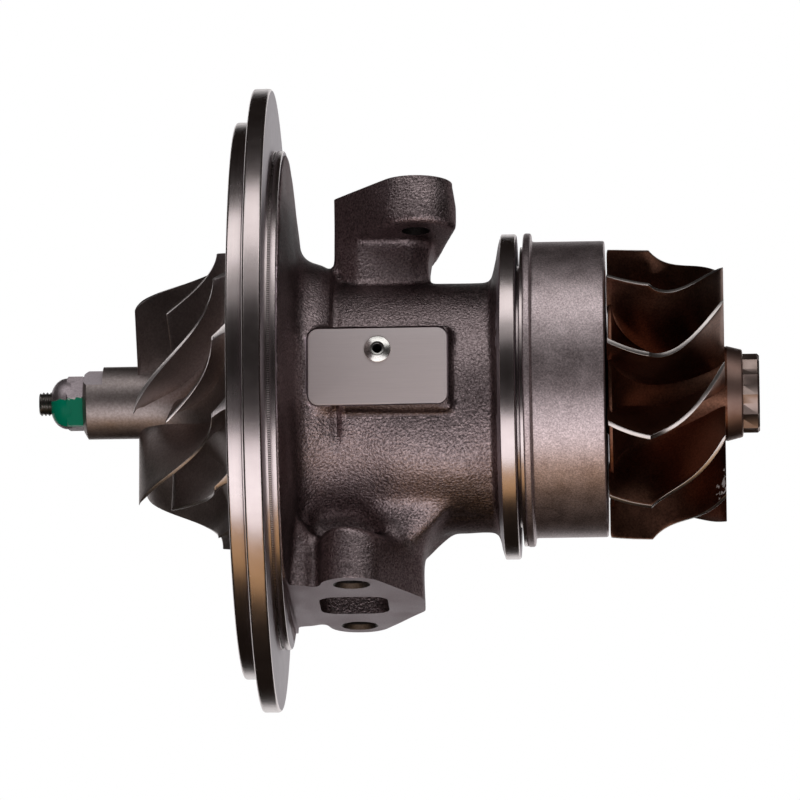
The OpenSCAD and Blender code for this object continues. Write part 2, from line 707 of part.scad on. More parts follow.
// The length is set once more on the whole wheel, which closes hub and blades into one cast body.
module turbine_wheel() {
  nose_x = turb_exit + nose_boss_len;
  color([0.36, 0.30, 0.25]) resize([nose_x + nose_len - weld_x, 0, 0]) {
    turned(concat(
      [[weld_x, 0], [weld_x, turb_carrier_r], [turb_back - 0.4, turb_carrier_r],
        [turb_back, turb_carrier_r + 0.4], [turb_back, turb_disc_r]],
      [for (i = [0 : 12]) turb_hub(i / 12)],
      [[nose_x, turb_hub_r - 0.9], [nose_x, 0]]
    ), $fn = 66);
    for (i = [0 : turb_blades - 1]) rotate([-360 / turb_blades * i, 0, 0]) blade(turb_sections);
    for (a = [0, 30]) rotate([a, 0, 0])
      translate([nose_x - 0.5, 0, 0]) rotate([0, 90, 0])
        cylinder(r = nose_point_r, h = nose_len + 0.5, $fn = 6);
  }
}

// Hub and tip lines of the compressor blades at u from 0 (entry) to 1 (exit), as [x, r].
function comp_hub(u) = [
  comp_le_hub + (comp_exit_hub - comp_le_hub) * sin(90 * u),
  hub_nose_r + (comp_out_r - hub_nose_r) * (1 - cos(90 * u))
];
function comp_tip(u) = [
  comp_le_tip + (comp_exit_hub - comp_exit_b - comp_le_tip) * pow(sin(90 * u), 0.9),
  comp_in_r + (comp_out_r - comp_in_r) * (1 - cos(90 * u))
];
// Angle of a compressor blade along the tip and along the hub.
function comp_tip_angle(u) = comp_first + comp_wrap * pow(u, comp_early);
function comp_hub_angle(u) = comp_first + (comp_wrap + comp_rake) * pow(u, comp_early);

// Sections of one compressor blade from u0 to the exit, with roots sunk into the hub.
comp_steps = 14;
function comp_sections(u0) = [
  for (i = [0 : comp_steps])
    let (u = u0 + (1 - u0) * pow(i / comp_steps, 1.4), h = comp_hub(u), t = comp_tip(u))
    let (sink = [1.2 * sin(90 * u), -1.2 * cos(90 * u)], root = h + sink)
    blade_section(
      [root[0], root[1], comp_hub_angle(u), 2.2], [t[0], t[1], comp_tip_angle(u), 1.1]
    )
];

module compressor_wheel() {
  color([0.40, 0.38, 0.36]) resize([sleeve_x0 - hub_front, 0, 0]) difference() {
    union() {
      turned(concat(
        [[hub_front, stub_bore_r], [hub_front, hub_nose_r - 0.8], [hub_front + 0.8, hub_nose_r]],
        [for (i = [0 : 12]) comp_hub(i / 12)],
        [[comp_back, comp_out_r], [comp_back, comp_carrier_r + 3], [sleeve_x0, comp_carrier_r + 2.8],
          [sleeve_x0, stub_bore_r]]
      ), $fn = 72);
      for (i = [0 : comp_blades - 1]) rotate([-360 / comp_blades * i, 0, 0]) {
        blade(comp_sections(0));
        rotate([-180 / comp_blades, 0, 0]) blade(comp_sections(splitter_start));
      }
    }
    rotate([90 - balance_angle, 0, 0])
      translate([hub_front - 1, -hub_nose_r - 1, hub_nose_r - balance_cut])
        cube([balance_len + 1, 2 * hub_nose_r + 2, balance_cut + 2]);
  }
}

module flinger_sleeve() {
  floor_r = comp_ring_r - ring_depth - 0.3;
  r = comp_carrier_r;
  color([0.6, 0.6, 0.62]) turned([
    [sleeve_x0, stub_bore_r], [sleeve_x0, r], [comp_ring_x - ring_side, r], [comp_ring_x - ring_side, floor_r],
    [comp_ring_x + ring_w + ring_side, floor_r], [comp_ring_x + ring_w + ring_side, r],
    [4.2, r], [4.2, flinger_r], [5.6, flinger_r], [5.6, r], [sleeve_x1, r], [sleeve_x1, stub_bore_r]
  ]);
}

module front_thrust_ring() {
  color([0.62, 0.62, 0.63]) turned([
    [sleeve_x1, stub_bore_r], [sleeve_x1, front_ring_r], [front_ring_x, front_ring_r], [front_ring_x, spacer_r],
    [rear_ring_x, spacer_r], [rear_ring_x, stub_bore_r]
  ]);
}

module rear_thrust_ring() {
  color([0.62, 0.62, 0.63]) tube(rear_ring_x, stack_end, stub_bore_r, rear_ring_r);
}

module lock_nut() {
  hex_x = hub_front - nut_hex_len;
  dome_x = hex_x - nut_dome_len;
  dome_r = nut_corner_d * 0.433 + 0.2;
  color([0.52, 0.51, 0.50]) difference() {
    union() {
      translate([hex_x, 0, 0]) rotate([-nut_turn, 0, 0]) rotate([0, 90, 0])
        cylinder(r = nut_corner_d / 2, h = nut_hex_len, $fn = 6);
      turned(concat(
        [[hex_x, 0]],
        [for (a = [0 : 10 : 70])
          [hex_x - nut_dome_len * sin(a) / sin(70), dome_r * cos(a) + 1.4 * (1 - cos(a))]],
        [[dome_x, 0]]
      ));
    }
    rod(dome_x - 1, hub_front + 1, thread_r + 0.01);
  }
}

// A floating bush with a ring of oil holes and an oil groove outside.
module journal_bush(x) {
  color([0.76, 0.60, 0.30]) difference() {
    turned([
      [x - bush_len / 2, journal_r + journal_clear], [x - bush_len / 2, bush_r - 0.4],
      [x - bush_len / 2 + 0.4, bush_r], [x - 1.6, bush_r], [x - 1.6, bush_r - 0.5], [x + 1.6, bush_r - 0.5],
      [x + 1.6, bush_r], [x + bush_len / 2 - 0.4, bush_r], [x + bush_len / 2, bush_r - 0.4],
      [x + bush_len / 2, journal_r + journal_clear]
    ]);
    for (a = [0 : 60 : 300]) rotate([a, 0, 0]) translate([x, 0, 0]) cylinder(r = 1, h = bush_r + 1);
  }
}

module compressor_journal_bush() {
  journal_bush(bush_a_x);
}

module turbine_journal_bush() {
  journal_bush(bush_b_x);
}

bearing_housing();
seal_insert();
insert_o_ring();
insert_retaining_ring();
oil_deflector();
thrust_bearing();
thrust_pins();
compressor_seal_ring();
turbine_seal_ring();
bearing_snap_rings();
heat_shield();
nameplate();
nameplate_rivet();
rotor_shaft();
turbine_wheel();
compressor_wheel();
flinger_sleeve();
front_thrust_ring();
rear_thrust_ring();
lock_nut();
compressor_journal_bush();
turbine_journal_bush();
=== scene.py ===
# %% [markdown]
# # A turbo cartridge in Blender
# The cartridge is the middle of a turbocharger: a cast housing with a rotor spinning in it. The solids come
# from the CAD frame, in metres, with the shaft along X and the oil inlet up. This script dresses them: cast
# and machined surfaces for the housing, and smooth bladed wheels for the rotor.

# %% Load the frame
import math

import bmesh
import bpy
from mathutils import Matrix, Vector, noise


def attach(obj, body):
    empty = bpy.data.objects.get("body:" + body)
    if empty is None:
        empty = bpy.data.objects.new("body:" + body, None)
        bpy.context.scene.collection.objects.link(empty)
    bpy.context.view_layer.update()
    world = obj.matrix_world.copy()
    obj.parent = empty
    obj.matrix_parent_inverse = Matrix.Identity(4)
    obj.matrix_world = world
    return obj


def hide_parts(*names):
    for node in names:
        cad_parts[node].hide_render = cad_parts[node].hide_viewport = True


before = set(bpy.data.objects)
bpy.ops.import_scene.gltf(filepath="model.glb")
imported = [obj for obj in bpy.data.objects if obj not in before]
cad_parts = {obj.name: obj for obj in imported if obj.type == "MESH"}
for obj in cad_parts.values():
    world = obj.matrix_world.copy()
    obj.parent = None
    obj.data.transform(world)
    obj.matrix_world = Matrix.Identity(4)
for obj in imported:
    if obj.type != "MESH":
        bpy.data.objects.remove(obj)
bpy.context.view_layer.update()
MM = 0.001

# %% [markdown]
# The photo was taken from a little below with a long lens, so the drain face shows and the rings look almost
# flat. The camera looks at a point on the shaft, and is rolled a touch because the shaft rises to the right.
# Its place is worked out from angles and a distance, so each of them can be changed alone.

# %% Camera
LOOK_AT = Vector((33.9, 0, 0)) * MM
CAMERA_DISTANCE = 2.03
CAMERA_AZIMUTH = math.radians(2.2)
CAMERA_ELEVATION = math.radians(-14.2)
CAMERA_ROLL = math.radians(0.36)
PICTURE_SIDE, PICTURE_SHIFT = 800, -1.3
SENSOR_WIDTH = 36.0
PIXELS_PER_MM = 4.158


def make_camera():
    turn = Matrix.Rotation(CAMERA_AZIMUTH, 4, "Z") @ Matrix.Rotation(math.pi / 2 - CAMERA_ELEVATION, 4, "X")
    toward = turn @ Vector((0, 0, CAMERA_DISTANCE))
    data = bpy.data.cameras.new("camera")
    data.sensor_width = SENSOR_WIDTH
    data.lens = PIXELS_PER_MM * CAMERA_DISTANCE / MM * SENSOR_WIDTH / PICTURE_SIDE
    data.shift_y = PICTURE_SHIFT / PICTURE_SIDE
    data.clip_end = 20
    camera = bpy.data.objects.new("camera", data)
    camera.matrix_world = Matrix.Translation(LOOK_AT + toward) @ turn @ Matrix.Rotation(-CAMERA_ROLL, 4, "Z")
    bpy.context.scene.collection.objects.link(camera)
    bpy.context.scene.camera = camera
    return camera


camera = make_camera()
print(f"lens {camera.data.lens:.0f} mm")

# %% [markdown]
# The pieces are built from a few helpers. These first ones make an object from points and faces, merge
# points that lie on one another, turn all faces outward, and shade a piece smooth with crisp edges.

# %% Mesh basics
def mix(a, b, t):
    return a + (b - a) * t


def on_shaft(x, r, a):
    """A point at radius r, turned by a round the shaft from the side that faces the camera."""
    return x, -r * math.cos(a), r * math.sin(a)


def new_object(name, mesh):
    piece = bpy.data.objects.new(name, mesh)
    bpy.context.scene.collection.objects.link(piece)
    return piece


def object_from(name, verts, faces):
    mesh = bpy.data.meshes.new(name)
    mesh.from_pydata([Vector(v) * MM for v in verts], [], faces)
    tidy_mesh(mesh)
    return new_object(name, mesh)


def tidy_mesh(mesh, weld=1e-7, outward=True):
    bm = bmesh.new()
    bm.from_mesh(mesh)
    bmesh.ops.remove_doubles(bm, verts=bm.verts, dist=weld)
    if outward:
        bmesh.ops.recalc_face_normals(bm, faces=bm.faces)
    bm.to_mesh(mesh)
    bm.free()


def shade(piece, sharp_angle):
    """Smooth shading, with edges sharper than the angle left crisp."""
    mesh = piece.data
    bm = bmesh.new()
    bm.from_mesh(mesh)
    limit = math.radians(sharp_angle)
    for face in bm.faces:
        face.smooth = True
    for edge in bm.edges:
        edge.smooth = len(edge.link_faces) == 2 and edge.calc_face_angle(0) < limit
    bm.to_mesh(mesh)
    bm.free()


print("mesh basics ready")

# %% [markdown]
# A turned piece could be made with a Screw modifier on a curve. Here a function writes the rings of points
# itself, because that gives exact corners and the same mesh each time. A corner of the outline may name a
# small radius, since no machined edge is perfectly sharp.

# %% Turned shapes
def rounded(points, steps=5):
    """Outline with each (x, r, fillet) corner turned into a short arc."""
    outline = []
    for i, point in enumerate(points):
        corner = Vector(point[:2])
        fillet = point[2] if len(point) > 2 else 0
        if fillet <= 0:
            outline.append(corner)
            continue
        before = (Vector(points[i - 1][:2]) - corner).normalized()
        after = (Vector(points[(i + 1) % len(points)][:2]) - corner).normalized()
        half = before.angle(after) / 2
        reach = fillet / math.tan(half)
        centre = corner + (before + after).normalized() * fillet / math.sin(half)
        start = corner + before * reach - centre
        turn = start.angle_signed(corner + after * reach - centre)
        for k in range(steps + 1):
            arm = start.copy()
            arm.rotate(Matrix.Rotation(-turn * k / steps, 2))
            outline.append(centre + arm)
    return outline


def lathe(name, points, segments=256):
    """Turns a closed outline of (x, r) about the shaft."""
    outline = rounded(points)
    n = len(outline)
    verts, faces = [], []
    for j in range(segments):
        verts += [on_shaft(p.x, p.y, 2 * math.pi * j / segments) for p in outline]
        here, there = j * n, (j + 1) % segments * n
        for i in range(n):
            k = (i + 1) % n
            if outline[i].y > 1e-6 or outline[k].y > 1e-6:
                faces.append((here + i, here + k, there + k, there + i))
    return object_from(name, verts, faces)


def rod(name, x0, x1, r, segments=96):
    return lathe(name, [(x0, 0), (x0, r), (x1, r), (x1, 0)], segments)


print("turned shapes ready")

# %% [markdown]
# Plates, drills and mills are prisms: a flat outline pushed straight along one way. Extruding in edit mode
# would do the same. Here two or more rings of points are joined by faces, which also makes cones and
# threads.

# %% Prisms and lofts
def loft(name, *rings):
    """A closed body through rings of points that have the same count."""
    n = len(rings[0])
    end = n * (len(rings) - 1)
    faces = [tuple(range(n)), tuple(range(end, end + n))]
    for ring in range(0, end, n):
        faces += [(ring + i, ring + (i + 1) % n, ring + n + (i + 1) % n, ring + n + i) for i in range(n)]
    return object_from(name, sum(rings, []), faces)


def upright(name, outline, z0, z1):
    """A prism with a flat outline of (x, y), from z0 up to z1."""
    return loft(name, *([(x, y, z) for x, y in outline] for z in (z0, z1)))


def crosswise(name, outline, y0, y1):
    """A prism with a flat outline of (x, z), from y0 to y1."""
    return loft(name, *([(x, y, z) for x, z in outline] for y in (y0, y1)))


def circle(x, y, r, count=48):
    turns = [2 * math.pi * i / count for i in range(count)]
    return [(x + r * math.cos(a), y + r * math.sin(a)) for a in turns]


def box_outline(x0, x1, y0, y1, corner=0.01, steps=5):
    corners = ((x0, y0), (x1, y0), (x1, y1), (x0, y1))
    return [tuple(p) for p in rounded([(x, y, corner) for x, y in corners], steps)]


print("prisms and lofts ready")

# %% [markdown]
# Modifiers do the hard cuts. A Boolean cuts one closed mesh from another or joins the two, and a Bevel
# rounds sharp edges. Each is applied at once, so that a plain mesh is left for the next step to read.

# %% Modifiers as tools
def bake(piece):
    """Applies the modifiers, so that a plain mesh is left."""
    seen = piece.evaluated_get(bpy.context.evaluated_depsgraph_get())
    mesh = bpy.data.meshes.new_from_object(seen)
    piece.modifiers.clear()
    old = piece.data
    piece.data = mesh
    mesh.name = piece.name
    bpy.data.meshes.remove(old)
    return piece


def round_edges(piece, width, segments=3):
    edge = piece.modifiers.new("edge", "BEVEL")
    edge.width = width * MM
    edge.segments = segments
    edge.limit_method = "ANGLE"
    edge.angle_limit = math.radians(50)
    return bake(piece)


def carve(piece, tools, operation="DIFFERENCE"):
    """Cuts closed tools from a piece, or joins them to it, and deletes the tools."""
    for tool in tools:
        cut = piece.modifiers.new(tool.name, "BOOLEAN")
        cut.operation = operation
        cut.solver = "MANIFOLD"
        cut.object = tool
    bake(piece)
    for tool in tools:
        bpy.data.objects.remove(tool)
    return piece


print("modifier tools ready")

# %% [markdown]
# The ring of blades and all the finishes are made of nodes. One helper adds a node and sets its inputs.
# The short ones after it are for the nodes that are used most.

# %% Node helpers
def give(tree, socket, value):
    """Links a node's output to a socket, or sets the socket to a plain value."""
    if isinstance(value, bpy.types.NodeSocket):
        tree.links.new(value, socket)
    else:
        socket.default_value = value


def node(tree, kind, inputs, output=0, **settings):
    """Adds a node, gives it its inputs, and returns one of its outputs."""
    made = tree.nodes.new(kind)
    for label, value in settings.items():
        setattr(made, label, value)
    for label, value in inputs.items():
        give(tree, made.inputs[label], value)
    return made.outputs[output]


def math_node(tree, operation, *values):
    return node(tree, "ShaderNodeMath", dict(enumerate(values)), operation=operation)


def vector_node(tree, operation, *values, output="Vector"):
    return node(tree, "ShaderNodeVectorMath", dict(enumerate(values)), output, operation=operation)


def noise_node(tree, place, scale, detail=3, rough=0.55):
    inputs = {"Vector": place, "Scale": scale, "Detail": detail, "Roughness": rough}
    return node(tree, "ShaderNodeTexNoise", inputs, "Fac")


def map_node(tree, value, low, high, to_low=0.0, to_high=1.0):
    inputs = {"Value": value, "From Min": low, "From Max": high, "To Min": to_low, "To Max": to_high}
    return node(tree, "ShaderNodeMapRange", inputs)


def blend_colour(tree, factor, dark, light):
    dark, light = ((*tone, 1) if isinstance(tone, tuple) else tone for tone in (dark, light))
    return node(tree, "ShaderNodeMix", {"Factor": factor, "A": dark, "B": light}, "Result", data_type="RGBA")


def object_place(tree):
    return node(tree, "ShaderNodeTexCoord", {}, "Object")


print("node helpers ready")

# %% [markdown]
# The housing is a sand casting that is machined afterwards, so it is made in the same order here. The CAD
# solid loses a recess on both sides of the drain neck, gains a sloped seat for the nameplate and some stock
# on the faces that will be milled, and its holes are filled. Then it is remeshed into small even cells and
# smoothed: that melts every corner into a cast fillet. The barrel gets a slight belly, the flow from the
# barrel into the drain neck is smoothed once more, and a slow noise makes the skin a little uneven.

# %% Housing: the rough casting
CELL = 0.75
STOCK = 2.5
DRAIN_Z, INLET_Z = -50.8, 48.4
CASTING_X0, CASTING_X1 = 5.4, 58.4
INLET_BOLTS = ((38.6, -17.5), (32.0, 17.5))
INLET_PORT_X, INLET_HOLE_DEPTH = 35.3, 11.5
DRAIN_BOLTS = ((23.0, -22.2), (23.0, 22.2))
BARREL_DROP, BARREL_R, BULGE = 2.6, 30.0, 2.4
CREASE_X, CREASE_HALF, CREASE_DEPTH = 19.7, 1.6, 1.1
SWELL = 0.8
UNEVEN, UNEVEN_SIZE = 0.12, 9.0
PLATE_X, PLATE_SEAT, PLATE_T, PLATE_L, PLATE_H, PLATE_CORNER = 29.8, -31.2, 0.8, 33.0, 18.6, 2.4
BOSS_FOOT, BOSS_MARGIN, BOSS_SLOPE, BOSS_TOP_SLOPE = -26.0, 0.3, 0.5, 0.1
WAIST_OUTLINE = [(12.8, -20), (20, -20), (31, -37.7), (12.8, -37.7)]
WAIST_DEPTH, WAIST_OUTSIDE = 11.2, 40
FLANGE_CONE = [(0, 0), (0, 60), (10, 37.4), (12.5, 33.7), (16.1, 32.6), (20.5, 29.2), (20.5, 0)]
CORE_OUTLINE = [
    (-3, 0), (-3, 34), (7.4, 34), (7.4, 26.6), (14, 26.6), (14, 24), (57, 24), (57, 18), (70, 18), (70, 0),
]
SMOOTH_PASSES = 14
RIM_R, RIM_SOFTNESS, RIM_END_R = 48.0, 0.25, 58.9
SEAT_SOFTNESS = 0.08
# Neck, valley and column of the drain: range and fade in x, the same in z, and passes of smoothing.
SOFT_ZONES = (
    ((22, 48, 7), (-47, -16, 7), 120),
    ((9, 32, 5), (-40, -15, 6), 70),
    ((7.5, 18, 3), (-56, -32, 4), 40),
)


print("casting sizes set, cells of", CELL, "mm")

# %% [markdown]
# Before the casting is smoothed, it has to be a plain lump. Plugs fill its holes, the nameplate's seat and
# the faces to be milled get extra stock, and the hollows beside the drain neck are cut away under the round
# of the barrel. Remesh joins what overlaps, so the plugs are only laid in place.

# %% Housing: a lump with filled holes
def join(pieces, name):
    bm = bmesh.new()
    for piece in pieces:
        bm.from_mesh(piece.data)
    mesh = bpy.data.meshes.new(name)
    bm.to_mesh(mesh)
    bm.free()
    for piece in pieces:
        bpy.data.objects.remove(piece)
    return new_object(name, mesh)


def plate_outline(grow, top):
    """Outline of the nameplate in x and z, grown by one margin all round and another at its top."""
    half = PLATE_L / 2 + grow
    corner = PLATE_CORNER + max(top, 0)
    return box_outline(PLATE_X - half, PLATE_X + half, -PLATE_H / 2 - grow, PLATE_H / 2 + top, corner, 8)


def plate_boss():
    """The raised seat of the nameplate, with sloping sides and some stock in front."""
    rings = []
    for y in (PLATE_SEAT - STOCK, BOSS_FOOT):
        deep = y - PLATE_SEAT
        outline = plate_outline(BOSS_MARGIN + BOSS_SLOPE * deep, BOSS_MARGIN + BOSS_TOP_SLOPE * deep)
        rings.append([(x, y, z) for x, z in outline])
    return loft("plate_boss", *rings)


def waist(side):
    """What is missing beside the drain neck, under the round of the barrel."""
    barrel = rod("barrel", 0, 60, BARREL_R, 256)
    barrel.data.transform(Matrix.Translation((0, 0, -BARREL_DROP * MM)))
    block = crosswise("waist", WAIST_OUTLINE, side * WAIST_DEPTH, side * WAIST_OUTSIDE)
    return carve(block, [barrel, lathe("cone", FLANGE_CONE)])


def filled_casting():
    solid = new_object("solid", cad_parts["bearing_housing"].data.copy())
    tidy_mesh(solid.data, 1e-6, outward=False)
    carve(solid, [waist(side) for side in (-1, 1)])
    for v in solid.data.vertices:
        if abs(v.co.z / MM - DRAIN_Z) < 0.02:
            v.co.z -= STOCK * MM
        elif abs(v.co.z / MM - INLET_Z) < 0.02:
            v.co.z += STOCK * MM
    low, high = DRAIN_Z - STOCK, INLET_Z + STOCK
    plugs = [
        lathe("plug", CORE_OUTLINE, 96),
        upright("plug", box_outline(13.5, 32, -10, 10), low, -18),
        upright("plug", circle(INLET_PORT_X, 0, 4.7), 18, high),
        plate_boss(),
    ]
    plugs += [upright("plug", circle(x, y, 4.2), INLET_Z - INLET_HOLE_DEPTH, high) for x, y in INLET_BOLTS]
    plugs += [upright("plug", circle(x, y, 5.7), low, DRAIN_Z + 13) for x, y in DRAIN_BOLTS]
    return join([solid] + plugs, "bearing_housing_skin")


print("casting from x", CASTING_X0, "to", CASTING_X1)

# %% [markdown]
# A casting has no sharp corner, because sand can't hold one. A Bevel needs an edge to work on, and where
# many forms run into one another there is none. So the skin is smoothed instead, by a weight for each
# place.

# %% Housing: soft corners
def ramp(value, low, high, soft):
    """1 between low and high, falling to 0 over the soft width inside both ends."""
    return max(0, min(1, (value - low) / soft, (high - value) / soft))


def soften(piece, weight, passes):
    """Smooths a piece, by a weight worked out from each place in mm."""
    weights = piece.vertex_groups.new(name="soft")
    for v in piece.data.vertices:
        amount = weight(v.co / MM)
        if amount > 0:
            weights.add([v.index], amount, "REPLACE")
    smooth = piece.modifiers.new("soften", "SMOOTH")
    smooth.vertex_group = weights.name
    smooth.factor = 0.5
    smooth.iterations = passes
    bake(piece)
    piece.vertex_groups.clear()


print("soft zones:", len(SOFT_ZONES))

# %% [markdown]
# The barrel of the real housing isn't a plain cylinder. It has a slight belly, a crease near the flange and
# an uneven skin. A Displace modifier could give the last. Pushing each point along its normal by a function
# gives all three.

# %% Housing: relief of the skin
def cast_relief(place, normal):
    """How far the skin stands out: slow waves, a fuller inlet lobe, and a crease round the barrel."""
    out = UNEVEN * noise.noise(place / UNEVEN_SIZE)
    out += SWELL * ramp(place.z, 32, 47.8, 5) * ramp(place.x, 36, 60, 6) * math.hypot(normal.x, normal.y)
    radius = math.hypot(place.y, place.z + BARREL_DROP)
    if radius < BARREL_R + 3 and normal.z < 0.9:
        fade = ramp(place.z, -19.5, 60, 5)
        out -= CREASE_DEPTH * fade * max(0, 1 - ((place.x - CREASE_X) / CREASE_HALF) ** 2) ** 2
    return out


def belly(place, normal):
    """How far the lower sides of the barrel stand out past a plain cylinder."""
    below = math.degrees(math.atan2(-place.z - BARREL_DROP, abs(place.y)))
    radius = math.hypot(place.y, place.z + BARREL_DROP)
    return BULGE * ramp(place.x, 26, 59, 9) * ramp(below, 8, 74, 30) * ramp(radius, 20, 38, 6)


def push_out(piece, relief):
    mesh = piece.data
    push = [relief(v.co / MM, n.vector) * n.vector for v, n in zip(mesh.vertices, mesh.vertex_normals)]
    for v, out in zip(mesh.vertices, push):
        v.co += out * MM


print("belly in mm:", BULGE)

# %% [markdown]
# Now the casting is made. Remesh turns the joined solids into one skin of small even cells, which is what
# smoothing needs. Both ends are cut off, since turned rings take their place.

# %% Housing: make the casting
def skin_softness(place):
    """The flange rim and the nameplate's seat keep more of their shape than the rest of the casting."""
    if math.hypot(place.y, place.z) > RIM_R:
        return RIM_SOFTNESS
    near_seat = ramp(place.x, 20, 54, 3) * ramp(place.z, -17, 14, 3) * ramp(place.y, -40, -25, 2)
    return mix(1, SEAT_SOFTNESS, near_seat)


def cut_ends(piece):
    """Takes off what the turned ends will replace, and closes the cuts."""
    bm = bmesh.new()
    bm.from_mesh(piece.data)
    for x, side in ((CASTING_X0, 1), (CASTING_X1, -1)):
        cut = bmesh.ops.bisect_plane(
            bm, geom=bm.verts[:] + bm.edges[:] + bm.faces[:], plane_co=(x * MM, 0, 0),
            plane_no=(-side, 0, 0), clear_outer=True,
        )
        rim = [e for e in cut["geom_cut"] if isinstance(e, bmesh.types.BMEdge)]
        bmesh.ops.holes_fill(bm, edges=rim)
    bmesh.ops.triangulate(bm, faces=[f for f in bm.faces if len(f.verts) > 4])
    bm.to_mesh(piece.data)
    bm.free()


def smooth_casting(piece):
    cells = piece.modifiers.new("cells", "REMESH")
    cells.mode = "VOXEL"
    cells.voxel_size = CELL * MM
    bake(piece)
    cut_ends(piece)
    soften(piece, skin_softness, SMOOTH_PASSES)
    push_out(piece, belly)
    for x_zone, z_zone, passes in SOFT_ZONES:
        soften(piece, lambda p: ramp(p.x, *x_zone) * ramp(p.z, *z_zone), passes)
    push_out(piece, cast_relief)
    for v in piece.data.vertices:
        outside = math.hypot(v.co.y, v.co.z) / (RIM_END_R * MM)
        if outside > 1:
            v.co.yz = v.co.yz / outside
    return piece


casting = smooth_casting(filled_casting())
print("casting cells:", len(casting.data.polygons))

# %% [markdown]
# Now the machining. The flange and the turbine end are turned outlines joined to the casting. Then the two
# oil faces are milled, the holes are drilled and the flat for the nameplate is cut, which leaves crisp edges
# where the tool met the rough skin.

# %% Housing: turned ends and cuts
FLANGE_OUTLINE = [
    (-4.3, 37, 0.2), (-4.3, 67, 0.7), (-0.7, 67, 0.15), (-0.7, 66.4), (0, 66.4), (0, 75, 0.7), (4.4, 75, 0.7),
    (4.4, 60), (5.0, 60, 0.08), (5.0, 59.3), (5.6, 59.3), (5.6, 60, 0.08), (7.1, 60, 0.35), (7.1, 26),
    (6.8, 26), (6.8, 33), (-2.4, 33), (-2.4, 37),
]
TURBINE_OUTLINE = [
    (57, 8.75), (57, 30.5), (57.6, 33.5, 0.6), (58.2, 36.8, 0.5), (58.9, 39.1, 0.3), (62.5, 39.1, 0.5),
    (62.5, 31.4, 0.2), (63.4, 31.4, 0.2), (63.4, 36, 0.2), (64.2, 36), (64.2, 32.4), (68, 32.4, 0.4),
    (68, 29.4), (71.2, 20), (73.2, 15), (77, 14.5, 0.4), (77, 9.2), (67, 9.2), (67, 17), (61.5, 17),
    (61.5, 8.75),
]
BORE_OUTLINE = [
    (6, 0), (6, 26), (13.05, 26), (13.05, 13), (15.6, 13), (15.6, 8.75), (62, 8.75), (62, 0),
]
BOLT_R, INLET_PORT_R = 3.4, 4
SINK_R, SINK_DEPTH = 5.45, 1.05
DRAIN_HOLE_END = -41.0
RIVET_Z, RIVET_HOLE_R = 4.1, 1.5


def facing_out(piece, z):
    """Stands a piece built along the shaft on the nameplate's seat, facing the camera."""
    seat = Matrix.Translation(Vector((PLATE_X, PLATE_SEAT, z)) * MM)
    piece.data.transform(seat @ Matrix.Rotation(math.radians(-90), 4, "Z"))
    return piece


def rivet_hole():
    return facing_out(rod("rivet_hole", -5, 3, RIVET_HOLE_R, 48), RIVET_Z)


def drill(x, y, r, z0, z1):
    return upright("drill", circle(x, y, r), z0, z1)


def countersink(x, y):
    ends = ((SINK_R, DRAIN_Z - 1), (BOLT_R, DRAIN_Z + SINK_DEPTH))
    return loft("countersink", *([(px, py, z) for px, py in circle(x, y, r)] for r, z in ends))


print("drain bolts:", DRAIN_BOLTS)

# %% [markdown]
# The order is that of the workshop. The turned ends are joined on first. Then every mill, drill and
# countersink is one closed tool, and all of them are cut in one go, which is faster than one after the
# other.

# %% Housing: machine it
def machine(casting):
    carve(casting, [lathe("flange", FLANGE_OUTLINE), lathe("turbine_end", TURBINE_OUTLINE)], "UNION")
    port = upright("port", box_outline(14.5, 30.9, -9, 9, 4), -60, -6)
    carve(port, [rod("boss", 0, 60, 13)])
    tools = [
        upright("mill", box_outline(7.13, 62, -60, 60), -80, DRAIN_Z),
        upright("mill", box_outline(14, 70, -50, 50), INLET_Z, 70),
        crosswise("mill", plate_outline(BOSS_MARGIN, BOSS_MARGIN), -60, PLATE_SEAT),
        rivet_hole(),
        port,
        lathe("bore", BORE_OUTLINE, 96),
        drill(INLET_PORT_X, 0, INLET_PORT_R, 20, 60),
    ]
    tools += [drill(x, y, BOLT_R, 30, 60) for x, y in INLET_BOLTS]
    for x, y in DRAIN_BOLTS:
        tools += [drill(x, y, BOLT_R, -60, DRAIN_HOLE_END), countersink(x, y)]
    return carve(casting, tools)


machine(casting)
print("housing faces:", len(casting.data.polygons))

# %% [markdown]
# Both wheels are rings of equal blades on a turned hub. One blade is a closed mesh, worked out from the hub
# line, the tip line and the angle along them. It thickens toward its root, as a cast blade does. A Geometry
# Nodes tree turns copies of it round the shaft, and the ring is then joined to the hub.

# %% One blade
TURB_EDGE, COMP_EDGE = 0.12, 0.28


def blade(name, surface, edge, stations=28, spans=12):
    """surface(u, s) gives x, r, angle in degrees and thickness, from entry to exit and from root to tip."""
    sides = ([], [])
    for i in range(stations + 1):
        for k in range(spans + 1):
            x, r, angle, thick = surface(i / stations, k / spans)
            for side, verts in zip((-1, 1), sides):
                verts.append(on_shaft(x, r, math.radians(angle) + side * thick / (2 * r)))
    row = spans + 1
    half = len(sides[0])
    faces = []
    for i in range(stations):
        for k in range(spans):
            a, b, c, d = i * row + k, i * row + k + 1, (i + 1) * row + k + 1, (i + 1) * row + k
            faces += [(a, b, c, d), (half + d, half + c, half + b, half + a)]
    rim = [k for k in range(row)] + [i * row + spans for i in range(1, stations + 1)]
    rim += [stations * row + k for k in range(spans - 1, -1, -1)]
    rim += [i * row for i in range(stations - 1, 0, -1)]
    for a, b in zip(rim, rim[1:] + rim[:1]):
        faces.append((a, half + a, half + b, b))
    return round_edges(object_from(name, sides[0] + sides[1], faces), edge)


print("blade edges in mm:", TURB_EDGE, COMP_EDGE)

# %% [markdown]
# A ring of equal blades is what Geometry Nodes are for. The tree has three named inputs: the blade, the
# count and the metal. A mesh line with no length gives one point for each blade, all on the shaft, and each
# copy is turned by its own number. The tree ends in Realize Instances and Set Material, so a plain mesh
# comes out.

